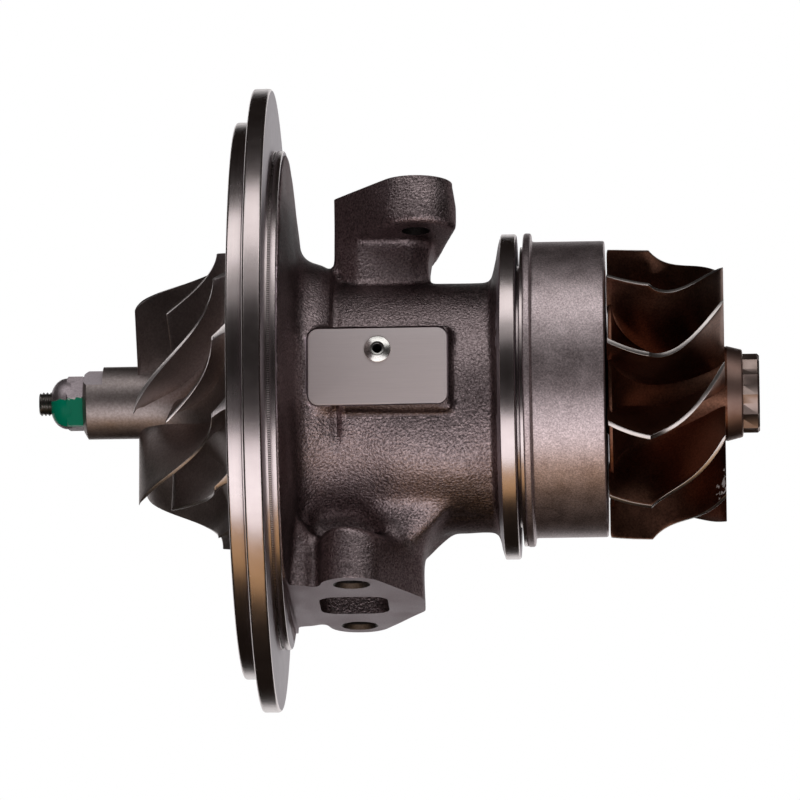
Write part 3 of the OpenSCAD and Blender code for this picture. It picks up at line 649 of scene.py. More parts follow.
# %% Ring of blades
def blade_ring_tree():
    tree = bpy.data.node_groups.new("blade ring", "GeometryNodeTree")
    tree.interface.new_socket("Geometry", in_out="OUTPUT", socket_type="NodeSocketGeometry")
    for label, kind in (("Blade", "Object"), ("Count", "Int"), ("Metal", "Material")):
        tree.interface.new_socket(label, in_out="INPUT", socket_type="NodeSocket" + kind)
    given = tree.nodes.new("NodeGroupInput").outputs
    step = math_node(tree, "DIVIDE", -2 * math.pi, given["Count"])
    turn = math_node(tree, "MULTIPLY", step, node(tree, "GeometryNodeInputIndex", {}))
    about_shaft = node(tree, "ShaderNodeCombineXYZ", {"X": turn})
    centres = node(tree, "GeometryNodeMeshLine", {"Count": given["Count"], "Offset": (0, 0, 0)})
    one_blade = node(tree, "GeometryNodeObjectInfo", {"Object": given["Blade"]}, "Geometry")
    placed = {"Points": centres, "Instance": one_blade, "Rotation": about_shaft}
    copies = node(tree, "GeometryNodeInstanceOnPoints", placed)
    solid = node(tree, "GeometryNodeRealizeInstances", {0: copies})
    ring = node(tree, "GeometryNodeSetMaterial", {"Geometry": solid, "Material": given["Metal"]})
    give(tree, tree.nodes.new("NodeGroupOutput").inputs[0], ring)
    return tree


BLADE_RING = blade_ring_tree()


def ring_of(one_blade, count, metal):
    ring = new_object(one_blade.name + "_ring", bpy.data.meshes.new("ring"))
    nodes = ring.modifiers.new("ring", "NODES")
    nodes.node_group = BLADE_RING
    ids = {s.name: s.identifier for s in BLADE_RING.interface.items_tree if s.in_out == "INPUT"}
    for label, value in (("Blade", one_blade), ("Count", count), ("Metal", metal)):
        nodes[ids[label]] = value
    bake(ring)
    bpy.data.objects.remove(one_blade)
    return ring


print("blade ring inputs:", [s.name for s in BLADE_RING.interface.items_tree])

# %% [markdown]
# The turbine wheel takes in gas at its rim and lets it out along the shaft. Its blades are made of straight
# radial lines, so their angle depends on x alone. They lean at the entry and curl over at the exit.

# %% Turbine wheel
TURB_BACK, TURB_DISC, TURB_ENTRY_X, TURB_EXIT_X = 84.3, 85.2, 94.2, 112.0
TURB_IN_R, TURB_OUT_R, TURB_DISC_R, TURB_HUB_R = 35.0, 30.8, 28.0, 11.3
TURB_FIRST, TURB_LEAN, TURB_CURL = -24.9, 6.1, 30.3
TURB_BLADES = 11
TURB_SINK = 2.2
NOSE_X, NOSE_END, NOSE_R = 116.3, 120.3, 9.5


def turb_hub(u):
    a = math.pi / 2 * u
    return mix(TURB_EXIT_X, TURB_DISC, math.cos(a)), mix(TURB_DISC_R, TURB_HUB_R, math.sin(a))


def turb_root(u):
    """Root line of a blade. It stands free past the back disc, then sinks into the hub."""
    a = math.pi / 2 * u
    sink = TURB_SINK * min(1, 4 * u)
    x = TURB_EXIT_X - (TURB_EXIT_X - TURB_BACK + sink) * math.cos(a)
    return max(TURB_BACK - 0.2, x), TURB_IN_R - (TURB_IN_R - TURB_HUB_R + sink) * math.sin(a)


def turb_tip(u):
    return mix(TURB_ENTRY_X, TURB_EXIT_X, u), TURB_OUT_R + (TURB_IN_R - TURB_OUT_R) * (1 - u) ** 5


def turb_angle(x):
    if x < TURB_ENTRY_X:
        along = (x - TURB_BACK) / (TURB_ENTRY_X - TURB_BACK)
        return TURB_FIRST - TURB_LEAN * along * (1.5 - 0.5 * along)
    return TURB_FIRST - TURB_LEAN + TURB_CURL * ((x - TURB_ENTRY_X) / (TURB_EXIT_X - TURB_ENTRY_X)) ** 2


def turb_surface(v, s):
    u = v ** 1.15
    root, tip = turb_root(u), turb_tip(u)
    x, r = mix(root[0], tip[0], s), mix(root[1], tip[1], s)
    height = math.dist(root, tip) * s
    slope = 2 * TURB_CURL * u / (TURB_EXIT_X - TURB_ENTRY_X) * math.pi / 180 * r
    thick = mix(mix(1.15, 2.3, min(1, 4 * u)), 1.05, s) + 3.0 * min(1, 5 * u) * math.exp(-height / 1.1)
    edge = min(1, 0.55 + 10 * (1 - u))
    return x, r, turb_angle(x), thick * edge * math.sqrt(1 + 0.6 * slope * slope)


print("blade angle at the exit:", round(turb_angle(TURB_EXIT_X), 1))

# %% [markdown]
# The nose has twelve points, so that a wrench can hold the wheel while the nut is tightened. It could be
# one star outline. Two hexagons on one another are simpler, and a Boolean joins them.

# %% Turbine hub and nose
def nose_star(name, x0, x1, corner_r, points=6, chamfer=0.5):
    """Two hexagons on one another make the twelve points of the wheel's nose."""
    def hexagon(turn):
        ends = ((x0, corner_r), (x1 - chamfer, corner_r), (x1, corner_r - chamfer))
        turns = [2 * math.pi * i / points + turn for i in range(points)]
        return loft(name, *([on_shaft(x, r, a) for a in turns] for x, r in ends))
    star = hexagon(math.radians(14))
    return carve(star, [hexagon(math.radians(44))], "UNION")


def turbine_hub_outline():
    outline = [(80, 0), (80, 8.8), (83.6, 8.8, 0.4), (84.3, 10.2), (TURB_BACK, TURB_DISC_R, 0.4)]
    outline += [turb_hub(i / 24) for i in range(25)]
    return outline + [(112.6, 11.4, 0.2), (116.2, 10.5, 0.5), (116.4, 9, 0.3), (116.4, 0)]


def make_turbine_wheel(metal):
    wheel = lathe("turbine_wheel_cast", turbine_hub_outline(), 176)
    wheel.data.materials.append(metal)
    ring = ring_of(blade("turbine_blade", turb_surface, TURB_EDGE), TURB_BLADES, metal)
    return carve(wheel, [ring, nose_star("nose", NOSE_X - 0.5, NOSE_END, NOSE_R)], "UNION")


print("turbine blades:", TURB_BLADES)

# %% [markdown]
# The compressor wheel draws air in along the shaft and throws it off its rim. Six full blades have a shorter
# splitter blade between each two. The hub nose has a flat, filed away to balance the rotor.

# %% Compressor wheel
COMP_LE_HUB, COMP_LE_TIP, COMP_EXIT_HUB, COMP_EXIT_TIP = -28.8, -28.6, -5.9, -9.5
COMP_NOSE_R, COMP_IN_R, COMP_OUT_R = 8.7, 27.0, 35.7
COMP_FIRST, COMP_WRAP, COMP_RAKE, COMP_EARLY = -19.5, 60.0, 6.5, 0.6
COMP_BLADES = 6
COMP_SINK = 1.0
SPLITTER_START = 0.235
HUB_FRONT, HUB_BORE_R = -42.1, 3.6
BALANCE_ANGLE, BALANCE_DEPTH, BALANCE_LEN = 59.8, 2.3, 4.8


def comp_hub(u):
    a = math.pi / 2 * u
    return mix(COMP_LE_HUB, COMP_EXIT_HUB, math.sin(a)), mix(COMP_NOSE_R, COMP_OUT_R, 1 - math.cos(a))


def comp_tip(u):
    a = math.pi / 2 * u
    return mix(COMP_LE_TIP, COMP_EXIT_TIP, math.sin(a) ** 0.9), mix(COMP_IN_R, COMP_OUT_R, 1 - math.cos(a))


def comp_surface(start):
    def surface(v, s):
        u = mix(start, 1, v ** 1.4)
        a = math.pi / 2 * u
        hub, tip = comp_hub(u), comp_tip(u)
        root = (hub[0] + COMP_SINK * math.sin(a), hub[1] - COMP_SINK * math.cos(a))
        x, r = mix(root[0], tip[0], s), mix(root[1], tip[1], s)
        angle = COMP_FIRST + (COMP_WRAP + COMP_RAKE * (1 - s)) * u ** COMP_EARLY
        slope = COMP_WRAP * COMP_EARLY * max(u, 0.05) ** (COMP_EARLY - 1) / 36 * math.pi / 180 * r
        height = math.dist(root, tip) * s
        thick = mix(2.0, 0.9, s) + 2.4 * math.exp(-height / 1.1)
        edge = min(1, 0.4 + 6 * v)
        return x, r, angle, thick * edge * math.sqrt(1 + slope * slope)
    return surface


print("blade wrap in degrees:", COMP_WRAP)

# %% [markdown]
# The hub is turned as one ring, and both rings of blades are joined to it. The flat on its nose is cut
# last, as the file did.

# %% Compressor hub
def balance_flat():
    outline = box_outline(HUB_FRONT - 1, HUB_FRONT + BALANCE_LEN, -10, 10)
    tool = upright("file", outline, COMP_NOSE_R - BALANCE_DEPTH, 14)
    tool.data.transform(Matrix.Rotation(math.radians(90 - BALANCE_ANGLE), 4, "X"))
    return tool


def compressor_hub_outline():
    outline = [(HUB_FRONT, HUB_BORE_R, 0.2), (HUB_FRONT, COMP_NOSE_R - 1.6, 0.3),
               (HUB_FRONT + 0.9, COMP_NOSE_R, 0.3)]
    outline += [comp_hub(i / 24) for i in range(25)]
    return outline + [(-3.5, COMP_OUT_R, 0.4), (-3.5, 11.6), (-3.3, 11.4), (-3.3, HUB_BORE_R)]


def make_compressor_wheel(metal):
    wheel = lathe("compressor_wheel_cast", compressor_hub_outline(), 144)
    wheel.data.materials.append(metal)
    full = ring_of(blade("full_blade", comp_surface(0), COMP_EDGE), COMP_BLADES, metal)
    splitter = blade("splitter_blade", comp_surface(SPLITTER_START), COMP_EDGE)
    splitter.data.transform(Matrix.Rotation(-math.pi / COMP_BLADES, 4, "X"))
    short = ring_of(splitter, COMP_BLADES, metal)
    carve(wheel, [full, short], "UNION")
    return carve(wheel, [balance_flat()])


print("compressor blades:", COMP_BLADES, "full and as many splitters")

# %% [markdown]
# Five effects are shared by the finishes, so each is a shader node group. Sand grain is the skin of a
# casting, turning marks are the fine rings that a lathe leaves about the shaft, brushing is fine lines along
# it, chatter is the row of ticks that a shaking tool leaves, and stain is a slow change of tone from oil and
# handling.

# %% Shared surface effects
def effect_tree(name, label, value, outputs=("Height",)):
    """A shader group with one number to set. Gives the tree, that number, the place and the outputs."""
    tree = bpy.data.node_groups.new(name, "ShaderNodeTree")
    tree.interface.new_socket(label, in_out="INPUT", socket_type="NodeSocketFloat").default_value = value
    for output in outputs:
        tree.interface.new_socket(output, in_out="OUTPUT", socket_type="NodeSocketFloat")
    given, result = tree.nodes.new("NodeGroupInput"), tree.nodes.new("NodeGroupOutput")
    return tree, given.outputs[0], object_place(tree), result.inputs


def split(tree, place):
    parts = tree.nodes.new("ShaderNodeSeparateXYZ")
    tree.links.new(place, parts.inputs[0])
    return parts.outputs


def weighted(tree, a, share, b, other_share):
    return math_node(tree, "MULTIPLY_ADD", a, share, math_node(tree, "MULTIPLY", b, other_share))


print("effect groups can be made")

# %% [markdown]
# Each group reads the place in the object's own coordinates, so its pattern stays put when the rotor turns.
# It has one named input, the fineness, and puts out heights or amounts from 0 to 1.

# %% The five effects
def sand_grain():
    tree, grains, place, result = effect_tree("sand grain", "Grains per metre", 1400.0, ("Height", "Speck"))
    fine = noise_node(tree, place, grains, 4, 0.65)
    coarse = noise_node(tree, place, math_node(tree, "MULTIPLY", grains, 0.22), 2)
    cells = {"Vector": place, "Scale": math_node(tree, "MULTIPLY", grains, 0.75)}
    pits = node(tree, "ShaderNodeTexVoronoi", cells, "Distance")
    height = math_node(tree, "MULTIPLY_ADD", pits, -0.35, weighted(tree, fine, 0.8, coarse, 0.25))
    give(tree, result["Height"], height)
    give(tree, result["Speck"], map_node(tree, fine, 0.38, 0.66))
    return tree


def turning_marks():
    tree, rings, place, result = effect_tree("turning marks", "Rings per metre", 2500.0)
    x, y, z = split(tree, place)
    square = math_node(tree, "MULTIPLY_ADD", z, z, math_node(tree, "MULTIPLY", y, y))
    across = node(tree, "ShaderNodeCombineXYZ", {"X": x, "Y": math_node(tree, "SQRT", square)})
    fine = noise_node(tree, across, rings, 3, 0.6)
    broad = noise_node(tree, across, math_node(tree, "MULTIPLY", rings, 0.2), 1)
    give(tree, result["Height"], weighted(tree, fine, 0.6, broad, 0.4))
    return tree


def brushing():
    tree, lines, place, result = effect_tree("brushing", "Lines per metre", 5000.0)
    stretched = vector_node(tree, "MULTIPLY", place, (0.03, 1, 1))
    give(tree, result["Height"], noise_node(tree, stretched, lines, 3, 0.6))
    return tree


def chatter():
    tree, ticks, place, result = effect_tree("chatter", "Ticks per turn", 720.0)
    x, y, z = split(tree, place)
    wave = math_node(tree, "SINE", math_node(tree, "MULTIPLY", math_node(tree, "ARCTAN2", z, y), ticks))
    give(tree, result["Height"], math_node(tree, "MULTIPLY_ADD", wave, 0.5, 0.5))
    return tree


def stain():
    tree, patches, place, result = effect_tree("stain", "Patches per metre", 60.0, ("Amount",))
    large = noise_node(tree, place, patches, 3, 0.6)
    small = noise_node(tree, place, math_node(tree, "MULTIPLY", patches, 6.5), 3, 0.6)
    give(tree, result["Amount"], map_node(tree, weighted(tree, large, 0.7, small, 0.3), 0.36, 0.64))
    return tree


SAND, TURNING, BRUSHING, CHATTER, STAIN = sand_grain(), turning_marks(), brushing(), chatter(), stain()
print("effects:", [effect.name for effect in (SAND, TURNING, BRUSHING, CHATTER, STAIN)])

# %% [markdown]
# A finish starts as one metal with two tones. The stain mixes the tones, and grain or turning marks give the
# bump and break up the gloss. Each call below is one real finish on the cartridge.

# %% How a finish is made
GRAIN_SHARE = 0.6


def use(tree, effect, value):
    made = tree.nodes.new("ShaderNodeGroup")
    made.node_tree = effect
    made.inputs[0].default_value = value
    return made.outputs


def finish(name, dark, light, rough, metallic=1.0, sand=None, turning=None, brushed=None, ticks=None,
           grainy=0.1, edge=1.0, bump=0.2, depth=0.02, patches=60):
    """A metal finish. rough is the range of roughness, edge the tint at a glance, depth the relief in mm."""
    material = bpy.data.materials.new(name)
    material.use_nodes = True
    tree = material.node_tree
    inputs = tree.nodes["Principled BSDF"].inputs
    inputs["Metallic"].default_value = metallic
    inputs["Specular Tint"].default_value = (edge, edge, edge, 1)
    amount = use(tree, STAIN, patches)["Amount"]
    colour = blend_colour(tree, amount, dark, light)
    relief = None
    if sand:
        grain = use(tree, SAND, sand)
        relief = grain["Height"]
        dull = tuple(c * (1 - grainy) for c in dark)
        bright = tuple(min(1, c * (1 + grainy)) for c in light)
        colour = blend_colour(tree, GRAIN_SHARE, colour, blend_colour(tree, grain["Speck"], dull, bright))
    if turning:
        rings = use(tree, TURNING, turning)["Height"]
        relief = rings if relief is None else math_node(tree, "MULTIPLY_ADD", rings, 0.5, relief)
        amount = weighted(tree, rings, 0.8, amount, 0.3)
    if brushed:
        amount = relief = use(tree, BRUSHING, brushed)["Height"]
        colour = blend_colour(tree, relief, dark, light)
    if ticks:
        relief = use(tree, CHATTER, ticks)["Height"]
        colour = blend_colour(tree, relief, dark, light)
    give(tree, inputs["Base Color"], colour)
    give(tree, inputs["Roughness"], map_node(tree, amount, 0, 1, *rough))
    bumps = {"Strength": bump, "Distance": depth * MM, "Height": relief}
    give(tree, inputs["Normal"], node(tree, "ShaderNodeBump", bumps))
    return material


def cover(material, mask, colour):
    """Lays a colour that isn't metal over a finish, where the mask is 1."""
    tree = material.node_tree
    inputs = tree.nodes["Principled BSDF"].inputs
    bare = inputs["Base Color"].links[0].from_socket
    give(tree, inputs["Base Color"], blend_colour(tree, mask, bare, colour))
    give(tree, inputs["Metallic"], math_node(tree, "SUBTRACT", 1.0, mask))


print("finish maker ready")

# %% [markdown]
# The housing is cast iron. Its skin is dark and grainy, the turned rings are bright, faced and milled planes
# are duller, and the holes are painted dark as shade. One material with a mask could hold them all. Separate
# ones are easier to read, and a machined face has a crisp border anyway.

# %% Finishes of the housing
CAST_IRON = finish("sand cast iron", (0.26, 0.20, 0.202), (0.44, 0.353, 0.36), (0.28, 0.4),
    sand=1900, grainy=0.6, edge=0.2, bump=1.0, depth=0.25)
# Painted shade: a darker copy of the cast iron, for the walls under and right of the nameplate.
SHADED_CAST_IRON = finish("sooted cast iron", (0.10, 0.076, 0.076), (0.19, 0.15, 0.152), (0.32, 0.44),
    sand=1900, grainy=0.5, edge=0.2, bump=1.0, depth=0.2)
TURNED_IRON = finish("turned iron", (0.58, 0.50, 0.495), (0.67, 0.585, 0.58), (0.2, 0.3),
    turning=2600, bump=0.1, depth=0.006)
FACED_IRON = finish("faced iron", (0.34, 0.30, 0.325), (0.45, 0.40, 0.43), (0.42, 0.55),
    turning=2600, bump=0.2, depth=0.01)
CHATTERED_IRON = finish("chattered iron", (0.10, 0.085, 0.08), (0.62, 0.54, 0.53), (0.24, 0.34),
    ticks=720, bump=0.6, depth=0.05)
# Painted shade: the hole walls and countersinks are drilled iron darkened so that they look deep.
HOLE_SHADE_IRON = finish("drilled iron", (0.08, 0.07, 0.066), (0.17, 0.15, 0.145), (0.36, 0.5),
    sand=2400, bump=0.3, depth=0.03)
MILLED_IRON = finish("milled iron", (0.44, 0.35, 0.382), (0.61, 0.485, 0.53), (0.34, 0.46),
    sand=2600, bump=0.15, depth=0.02)
print("housing finishes:", len(bpy.data.materials))

# %% [markdown]
# The shield is spun steel with patches of heat. The turbine alloy has browned in hot gas, the compressor
# wheel is grey cast aluminium with worn bright edges, and the nut and the thread are steel.

# %% Finishes of the shield and the rotor
SHIELD_STEEL = finish("spun steel", (0.37, 0.297, 0.303), (0.76, 0.645, 0.66), (0.36, 0.5),
    sand=2600, turning=1800, grainy=0.2, bump=0.3, depth=0.02, patches=190)
TURBINE_ALLOY = finish("cast turbine alloy", (0.13, 0.06, 0.039), (0.28, 0.135, 0.088), (0.3, 0.42),
    sand=1900, bump=0.25, depth=0.04)
BOSS_ALLOY = finish("turned turbine boss", (0.22, 0.135, 0.11), (0.34, 0.225, 0.19), (0.4, 0.52),
    turning=2600, bump=0.3, depth=0.01)
NOSE_ALLOY = finish("machined turbine nose", (0.34, 0.255, 0.225), (0.48, 0.38, 0.345), (0.34, 0.46),
    turning=2600, bump=0.3, depth=0.01)
GROUND_TIP = finish("ground blade tip", (0.50, 0.45, 0.43), (0.68, 0.63, 0.61), (0.24, 0.38),
    turning=4000, bump=0.3, depth=0.006)
WHEEL_ALLOY = finish("cast wheel alloy", (0.31, 0.262, 0.252), (0.43, 0.37, 0.36), (0.42, 0.54),
    sand=1700, bump=0.3, depth=0.04)
WHEEL_EDGE = finish("worn wheel edge", (0.62, 0.56, 0.55), (0.80, 0.75, 0.74), (0.3, 0.44),
    sand=2600, bump=0.12, depth=0.01)
FILED_ALLOY = finish("filed alloy", (0.76, 0.66, 0.70), (0.90, 0.80, 0.84), (0.55, 0.7), 0.1,
    sand=2600, bump=0.2, depth=0.02)
NUT_STEEL = finish("plated nut steel", (0.38, 0.32, 0.34), (0.54, 0.465, 0.49), (0.42, 0.54),
    sand=2200, bump=0.15, depth=0.02)
THREAD_STEEL = finish("rolled thread steel", (0.16, 0.15, 0.14), (0.30, 0.28, 0.26), (0.28, 0.42),
    turning=2600, bump=0.2, depth=0.01)
print("with shield and rotor:", len(bpy.data.materials))

# %% [markdown]
# The plate is brushed along its length. The pieces inside get plain bronze, steel and rubber, because only
# a cut through the part would show them.

# %% Finishes of the plate and the inner pieces
PLATE_METAL = finish("nameplate aluminium", (0.72, 0.635, 0.635), (0.82, 0.73, 0.73), (0.5, 0.62), 0.25,
    brushed=5200, bump=0.25, depth=0.012)
RIVET_METAL = finish("rivet aluminium", (0.72, 0.70, 0.67), (0.86, 0.84, 0.80), (0.2, 0.34),
    sand=2600, bump=0.12, depth=0.01)
BRONZE = finish("bearing bronze", (0.45, 0.28, 0.12), (0.66, 0.45, 0.22), (0.25, 0.4),
    turning=2600, bump=0.25, depth=0.01)
SPRING_STEEL = finish("spring steel", (0.14, 0.14, 0.15), (0.24, 0.24, 0.25), (0.35, 0.5),
    sand=2400, bump=0.15, depth=0.02)
INSERT_METAL = finish("turned insert", (0.50, 0.50, 0.50), (0.66, 0.66, 0.66), (0.25, 0.4),
    turning=2400, bump=0.3, depth=0.01)
RUBBER = finish("seal rubber", (0.012, 0.012, 0.013), (0.03, 0.03, 0.032), (0.5, 0.65), 0.0,
    sand=2600, bump=0.15, depth=0.02)
print("finishes:", len(bpy.data.materials))

# %% [markdown]
# The housing takes seven finishes. Which one a face gets follows from where it lies: turned or faced at both
# ends, milled on the oil faces, drilled in the holes and darkened there as painted shade, a darker copy of
# the cast skin as painted shade on the right and lower walls under the nameplate, and sand cast everywhere
# else. Faces could be picked by hand, but a rule still holds after the shape has changed.

# %% Dress the housing
END_X0, END_X1, END_R = 7.12, 57.95, 25
GROOVE_X0, GROOVE_X1, GROOVE_R = 4.95, 5.65, 59.7
# How far the painted shade reaches past the nameplate, in mm.
SHADE_REACH = 3


def dress(piece, body, cad_node, sharp_angle, finishes, choose=None):
    """Lets a piece ride on a body in place of a CAD node. Each face gets the finish that choose(place in mm,
    normal) names, or the first one."""
    piece.data.materials.clear()
    for material in finishes:
        piece.data.materials.append(material)
    for face in piece.data.polygons:
        face.material_index = finishes.index(choose(face.center / MM, face.normal)) if choose else 0
    shade(piece, sharp_angle)
    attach(piece, body)
    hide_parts(cad_node)


def housing_finish(place, normal):
    radius = math.hypot(place.y, place.z)
    if radius > END_R and (place.x < END_X0 or place.x > END_X1):
        if GROOVE_X0 < place.x < GROOVE_X1 and radius < GROOVE_R:
            return CHATTERED_IRON
        return FACED_IRON if abs(normal.x) > 0.9 else TURNED_IRON
    if abs(place.z - DRAIN_Z) < 0.02 or abs(place.z - INLET_Z) < 0.02:
        return MILLED_IRON
    if place.y < PLATE_SEAT + 0.05 and normal.y < -0.95:
        return MILLED_IRON
    right, under = place.x - PLATE_X - PLATE_L / 2, -place.z - PLATE_H / 2
    # Painted shade on the right and lower walls of the nameplate's boss.
    if place.y < BOSS_FOOT and right < SHADE_REACH and under < SHADE_REACH and place.z < PLATE_H / 2:
        if right > 0 and normal.x > 0.35 or under > 0 and place.x > 22 and normal.z < -0.35:
            return SHADED_CAST_IRON
    # Painted shade in the drilled holes and countersinks.
    holes = []
    if place.z > INLET_Z - INLET_HOLE_DEPTH - 0.1:
        holes = [(x, y, BOLT_R + 0.1) for x, y in INLET_BOLTS] + [(INLET_PORT_X, 0, INLET_PORT_R + 0.1)]
    elif place.z < DRAIN_HOLE_END + 0.05:
        holes = [(x, y, SINK_R + 0.15) for x, y in DRAIN_BOLTS]
    in_hole = any(math.hypot(place.x - x, place.y - y) < r for x, y, r in holes)
    return HOLE_SHADE_IRON if in_hole else CAST_IRON


HOUSING_FINISHES = [
    CAST_IRON, TURNED_IRON, MILLED_IRON, HOLE_SHADE_IRON, FACED_IRON, CHATTERED_IRON, SHADED_CAST_IRON,
]
dress(casting, "housing", "bearing_housing", 40, HOUSING_FINISHES, housing_finish)
print("housing dressed")

# %% [markdown]
# The heat shield is a spun steel can. It is loose until a turbine housing clamps it, and in the photo it sits
# a little high, as the CAD has it. It could be a cylinder with a Solidify modifier, but a turned outline
# gives the wall, the bends and the flange at once.

# %% Heat shield
SHIELD_OUTLINE = [
    (64.2, 34.1), (64.2, 37.7, 0.6), (66.1, 37.7, 0.6), (66.1, 35.6, 0.7), (83.6, 35.6, 0.5),
    (83.6, 11.5, 0.3), (82.1, 11.5, 0.3), (82.1, 34.1, 1.0),
]
SHIELD_LIFT = 1.6
shield = lathe("heat_shield_can", SHIELD_OUTLINE)
shield.data.transform(Matrix.Translation((0, 0, SHIELD_LIFT * MM)))
dress(shield, "housing", "heat_shield", 40, [SHIELD_STEEL])
print("shield:", [round(d / MM, 1) for d in shield.dimensions])

# %% [markdown]
# The wheels get their ground edges here: a face that lies on the tip line was ground to fit the housing, so
# it is bright, and the rest of the wheel keeps its cast skin. One turbine blade has ground nicks near its
# exit, painted near white as their highlight.

# %% Dress the wheels
NICKS_AT, NICKS_REACH = (110.3, -14.0, -25.0), 6.5
NICK_GLINT_COLOUR = (0.85, 0.8, 0.78)
TIP_BAND = 0.2


def tip_radius(line, x, steps=60):
    points = [line(i / steps) for i in range(steps + 1)]
    for (x0, r0), (x1, r1) in zip(points, points[1:]):
        if x0 <= x <= x1:
            return mix(r0, r1, (x - x0) / max(1e-9, x1 - x0))
    return 1e9


def radius_and_outward(place, normal):
    radius = math.hypot(place.y, place.z)
    return radius, (normal.y * place.y + normal.z * place.z) / max(radius, 1e-6)


def turbine_finish(place, normal):
    radius, outward = radius_and_outward(place, normal)
    if place.x > TURB_EXIT_X + 0.3:
        return NOSE_ALLOY if place.x > NOSE_X else BOSS_ALLOY
    if place.x < TURB_ENTRY_X:
        ground = radius > TURB_IN_R - 0.3
    else:
        ground = abs(radius - tip_radius(turb_tip, place.x)) < TIP_BAND
    return GROUND_TIP if ground and outward > 0.45 else TURBINE_ALLOY


def compressor_finish(place, normal):
    radius, outward = radius_and_outward(place, normal)
    flat = math.radians(BALANCE_ANGLE)
    if place.x < HUB_FRONT + BALANCE_LEN and normal.z * math.sin(flat) - normal.y * math.cos(flat) > 0.999:
        return FILED_ALLOY
    if abs(radius - tip_radius(comp_tip, place.x)) < TIP_BAND and (outward > 0.4 or normal.x < -0.5):
        return WHEEL_EDGE
    return WHEEL_EDGE if radius > COMP_OUT_R - 0.15 and outward > 0.9 else WHEEL_ALLOY


print("tip band in mm:", TIP_BAND)

# %% [markdown]
# A grinder took a little metal off one turbine blade to balance the wheel. Nicks that small would need very
# many faces, so they are a mask in the material: noise, raised near one place and cut at a level. The mask
# lays a near-white colour that isn't metal, a painted highlight on the ground metal.

# %% Nicks, and both wheels
def grind_marks_and_glints(material, middle, reach, amount=0.64, nicks_per_metre=900.0):
    """Ground nicks round one place, where a grinder took metal off to balance the wheel, painted near white
    as a highlight.
    """
    tree = material.node_tree
    place = object_place(tree)
    away = vector_node(tree, "DISTANCE", place, Vector(middle) * MM, output="Value")
    near = math_node(tree, "MULTIPLY_ADD", away, -0.25 / (reach * MM), 0.25)
    level = math_node(tree, "ADD", noise_node(tree, place, nicks_per_metre, 2), near)
    inside = math_node(tree, "GREATER_THAN", near, 0.0)
    nicks = math_node(tree, "MULTIPLY", map_node(tree, level, amount, amount + 0.05), inside)
    # The nicks are near white and not metal: ground metal with a painted highlight.
    cover(material, nicks, NICK_GLINT_COLOUR)


grind_marks_and_glints(TURBINE_ALLOY, NICKS_AT, NICKS_REACH)
turbine = make_turbine_wheel(TURBINE_ALLOY)
TURBINE_FINISHES = [TURBINE_ALLOY, GROUND_TIP, BOSS_ALLOY, NOSE_ALLOY]
dress(turbine, "rotor", "turbine_wheel", 38, TURBINE_FINISHES, turbine_finish)
compressor = make_compressor_wheel(WHEEL_ALLOY)
COMPRESSOR_FINISHES = [WHEEL_ALLOY, WHEEL_EDGE, FILED_ALLOY]
dress(compressor, "rotor", "compressor_wheel", 38, COMPRESSOR_FINISHES, compressor_finish)
print("wheel faces:", len(turbine.data.polygons), len(compressor.data.polygons))

# %% [markdown]
# The nut has a hexagon with a domed nose, and the shaft's thread stands out past it. The thread is a wave
# that climbs one pitch in each turn round a plain rod. A dab of green paint shows that the nut was tightened.

# %% Nut
NUT_HEX_X, NUT_NOSE_X = -46.1, -49.9
NUT_CORNER_R, NUT_DOME_R, NUT_HOLE_R, NUT_TURN = 6.9, 6.15, 2.92, 2.2
NUT_CONE = [
    (HUB_FRONT, 0), (HUB_FRONT, 6.6), (HUB_FRONT - 0.35, 7.0), (NUT_HEX_X + 0.5, 7.0), (NUT_HEX_X, 6.3),
    (NUT_HEX_X, 0),
]
DOME_ARC = 70
SHAFT_OUTLINE = [
    (-41.1, 0), (-41.1, 3.5), (15, 3.5), (15, 5.7), (62, 5.7), (66, 8.8), (71, 8.8), (71, 7.5), (72.6, 7.5),
    (72.6, 8.8), (80, 8.8), (80, 0),
]
THREAD_END, THREAD_START = -52.9, -41
THREAD_R, THREAD_PITCH, THREAD_DEPTH, THREAD_CHAMFER = 2.9, 0.9, 0.5, 0.45
PAINT_GREEN, PAINT_MIDDLE, PAINT_HALF = (0.0, 0.24, 0.135), math.radians(-39), math.radians(36.5)
PAINT_SMOOTHER, PAINT_SHINE = -0.14, 0.08


def make_nut():
    dome = [(NUT_HEX_X + 1, NUT_HOLE_R), (NUT_HEX_X + 1, 6.1), (NUT_HEX_X + 0.2, NUT_DOME_R)]
    for degrees in range(0, DOME_ARC + 1, 10):
        a = math.radians(degrees)
        x = mix(NUT_HEX_X, NUT_NOSE_X, math.sin(a) / math.sin(math.radians(DOME_ARC)))
        dome.append((x, NUT_DOME_R * math.cos(a) + 1.4 * (1 - math.cos(a))))
    nut = lathe("lock_nut_body", dome + [(NUT_NOSE_X, NUT_HOLE_R)], 96)
    flats = rod("hexagon", HUB_FRONT, NUT_HEX_X, NUT_CORNER_R, 6)
    flats.data.transform(Matrix.Rotation(math.radians(NUT_TURN), 4, "X"))
    carve(flats, [lathe("cone", NUT_CONE, 96)], "INTERSECT")
    carve(flats, [rod("hole", -60, -40, NUT_HOLE_R)])
    return carve(nut, [flats], "UNION")


print("nut corners at", NUT_CORNER_R, "mm")

# %% [markdown]
# A thread could be a small triangle swept along a helix. A rod whose radius goes up and down with x and
# with the angle is lighter, is closed by itself, and joins the shaft in one Boolean.

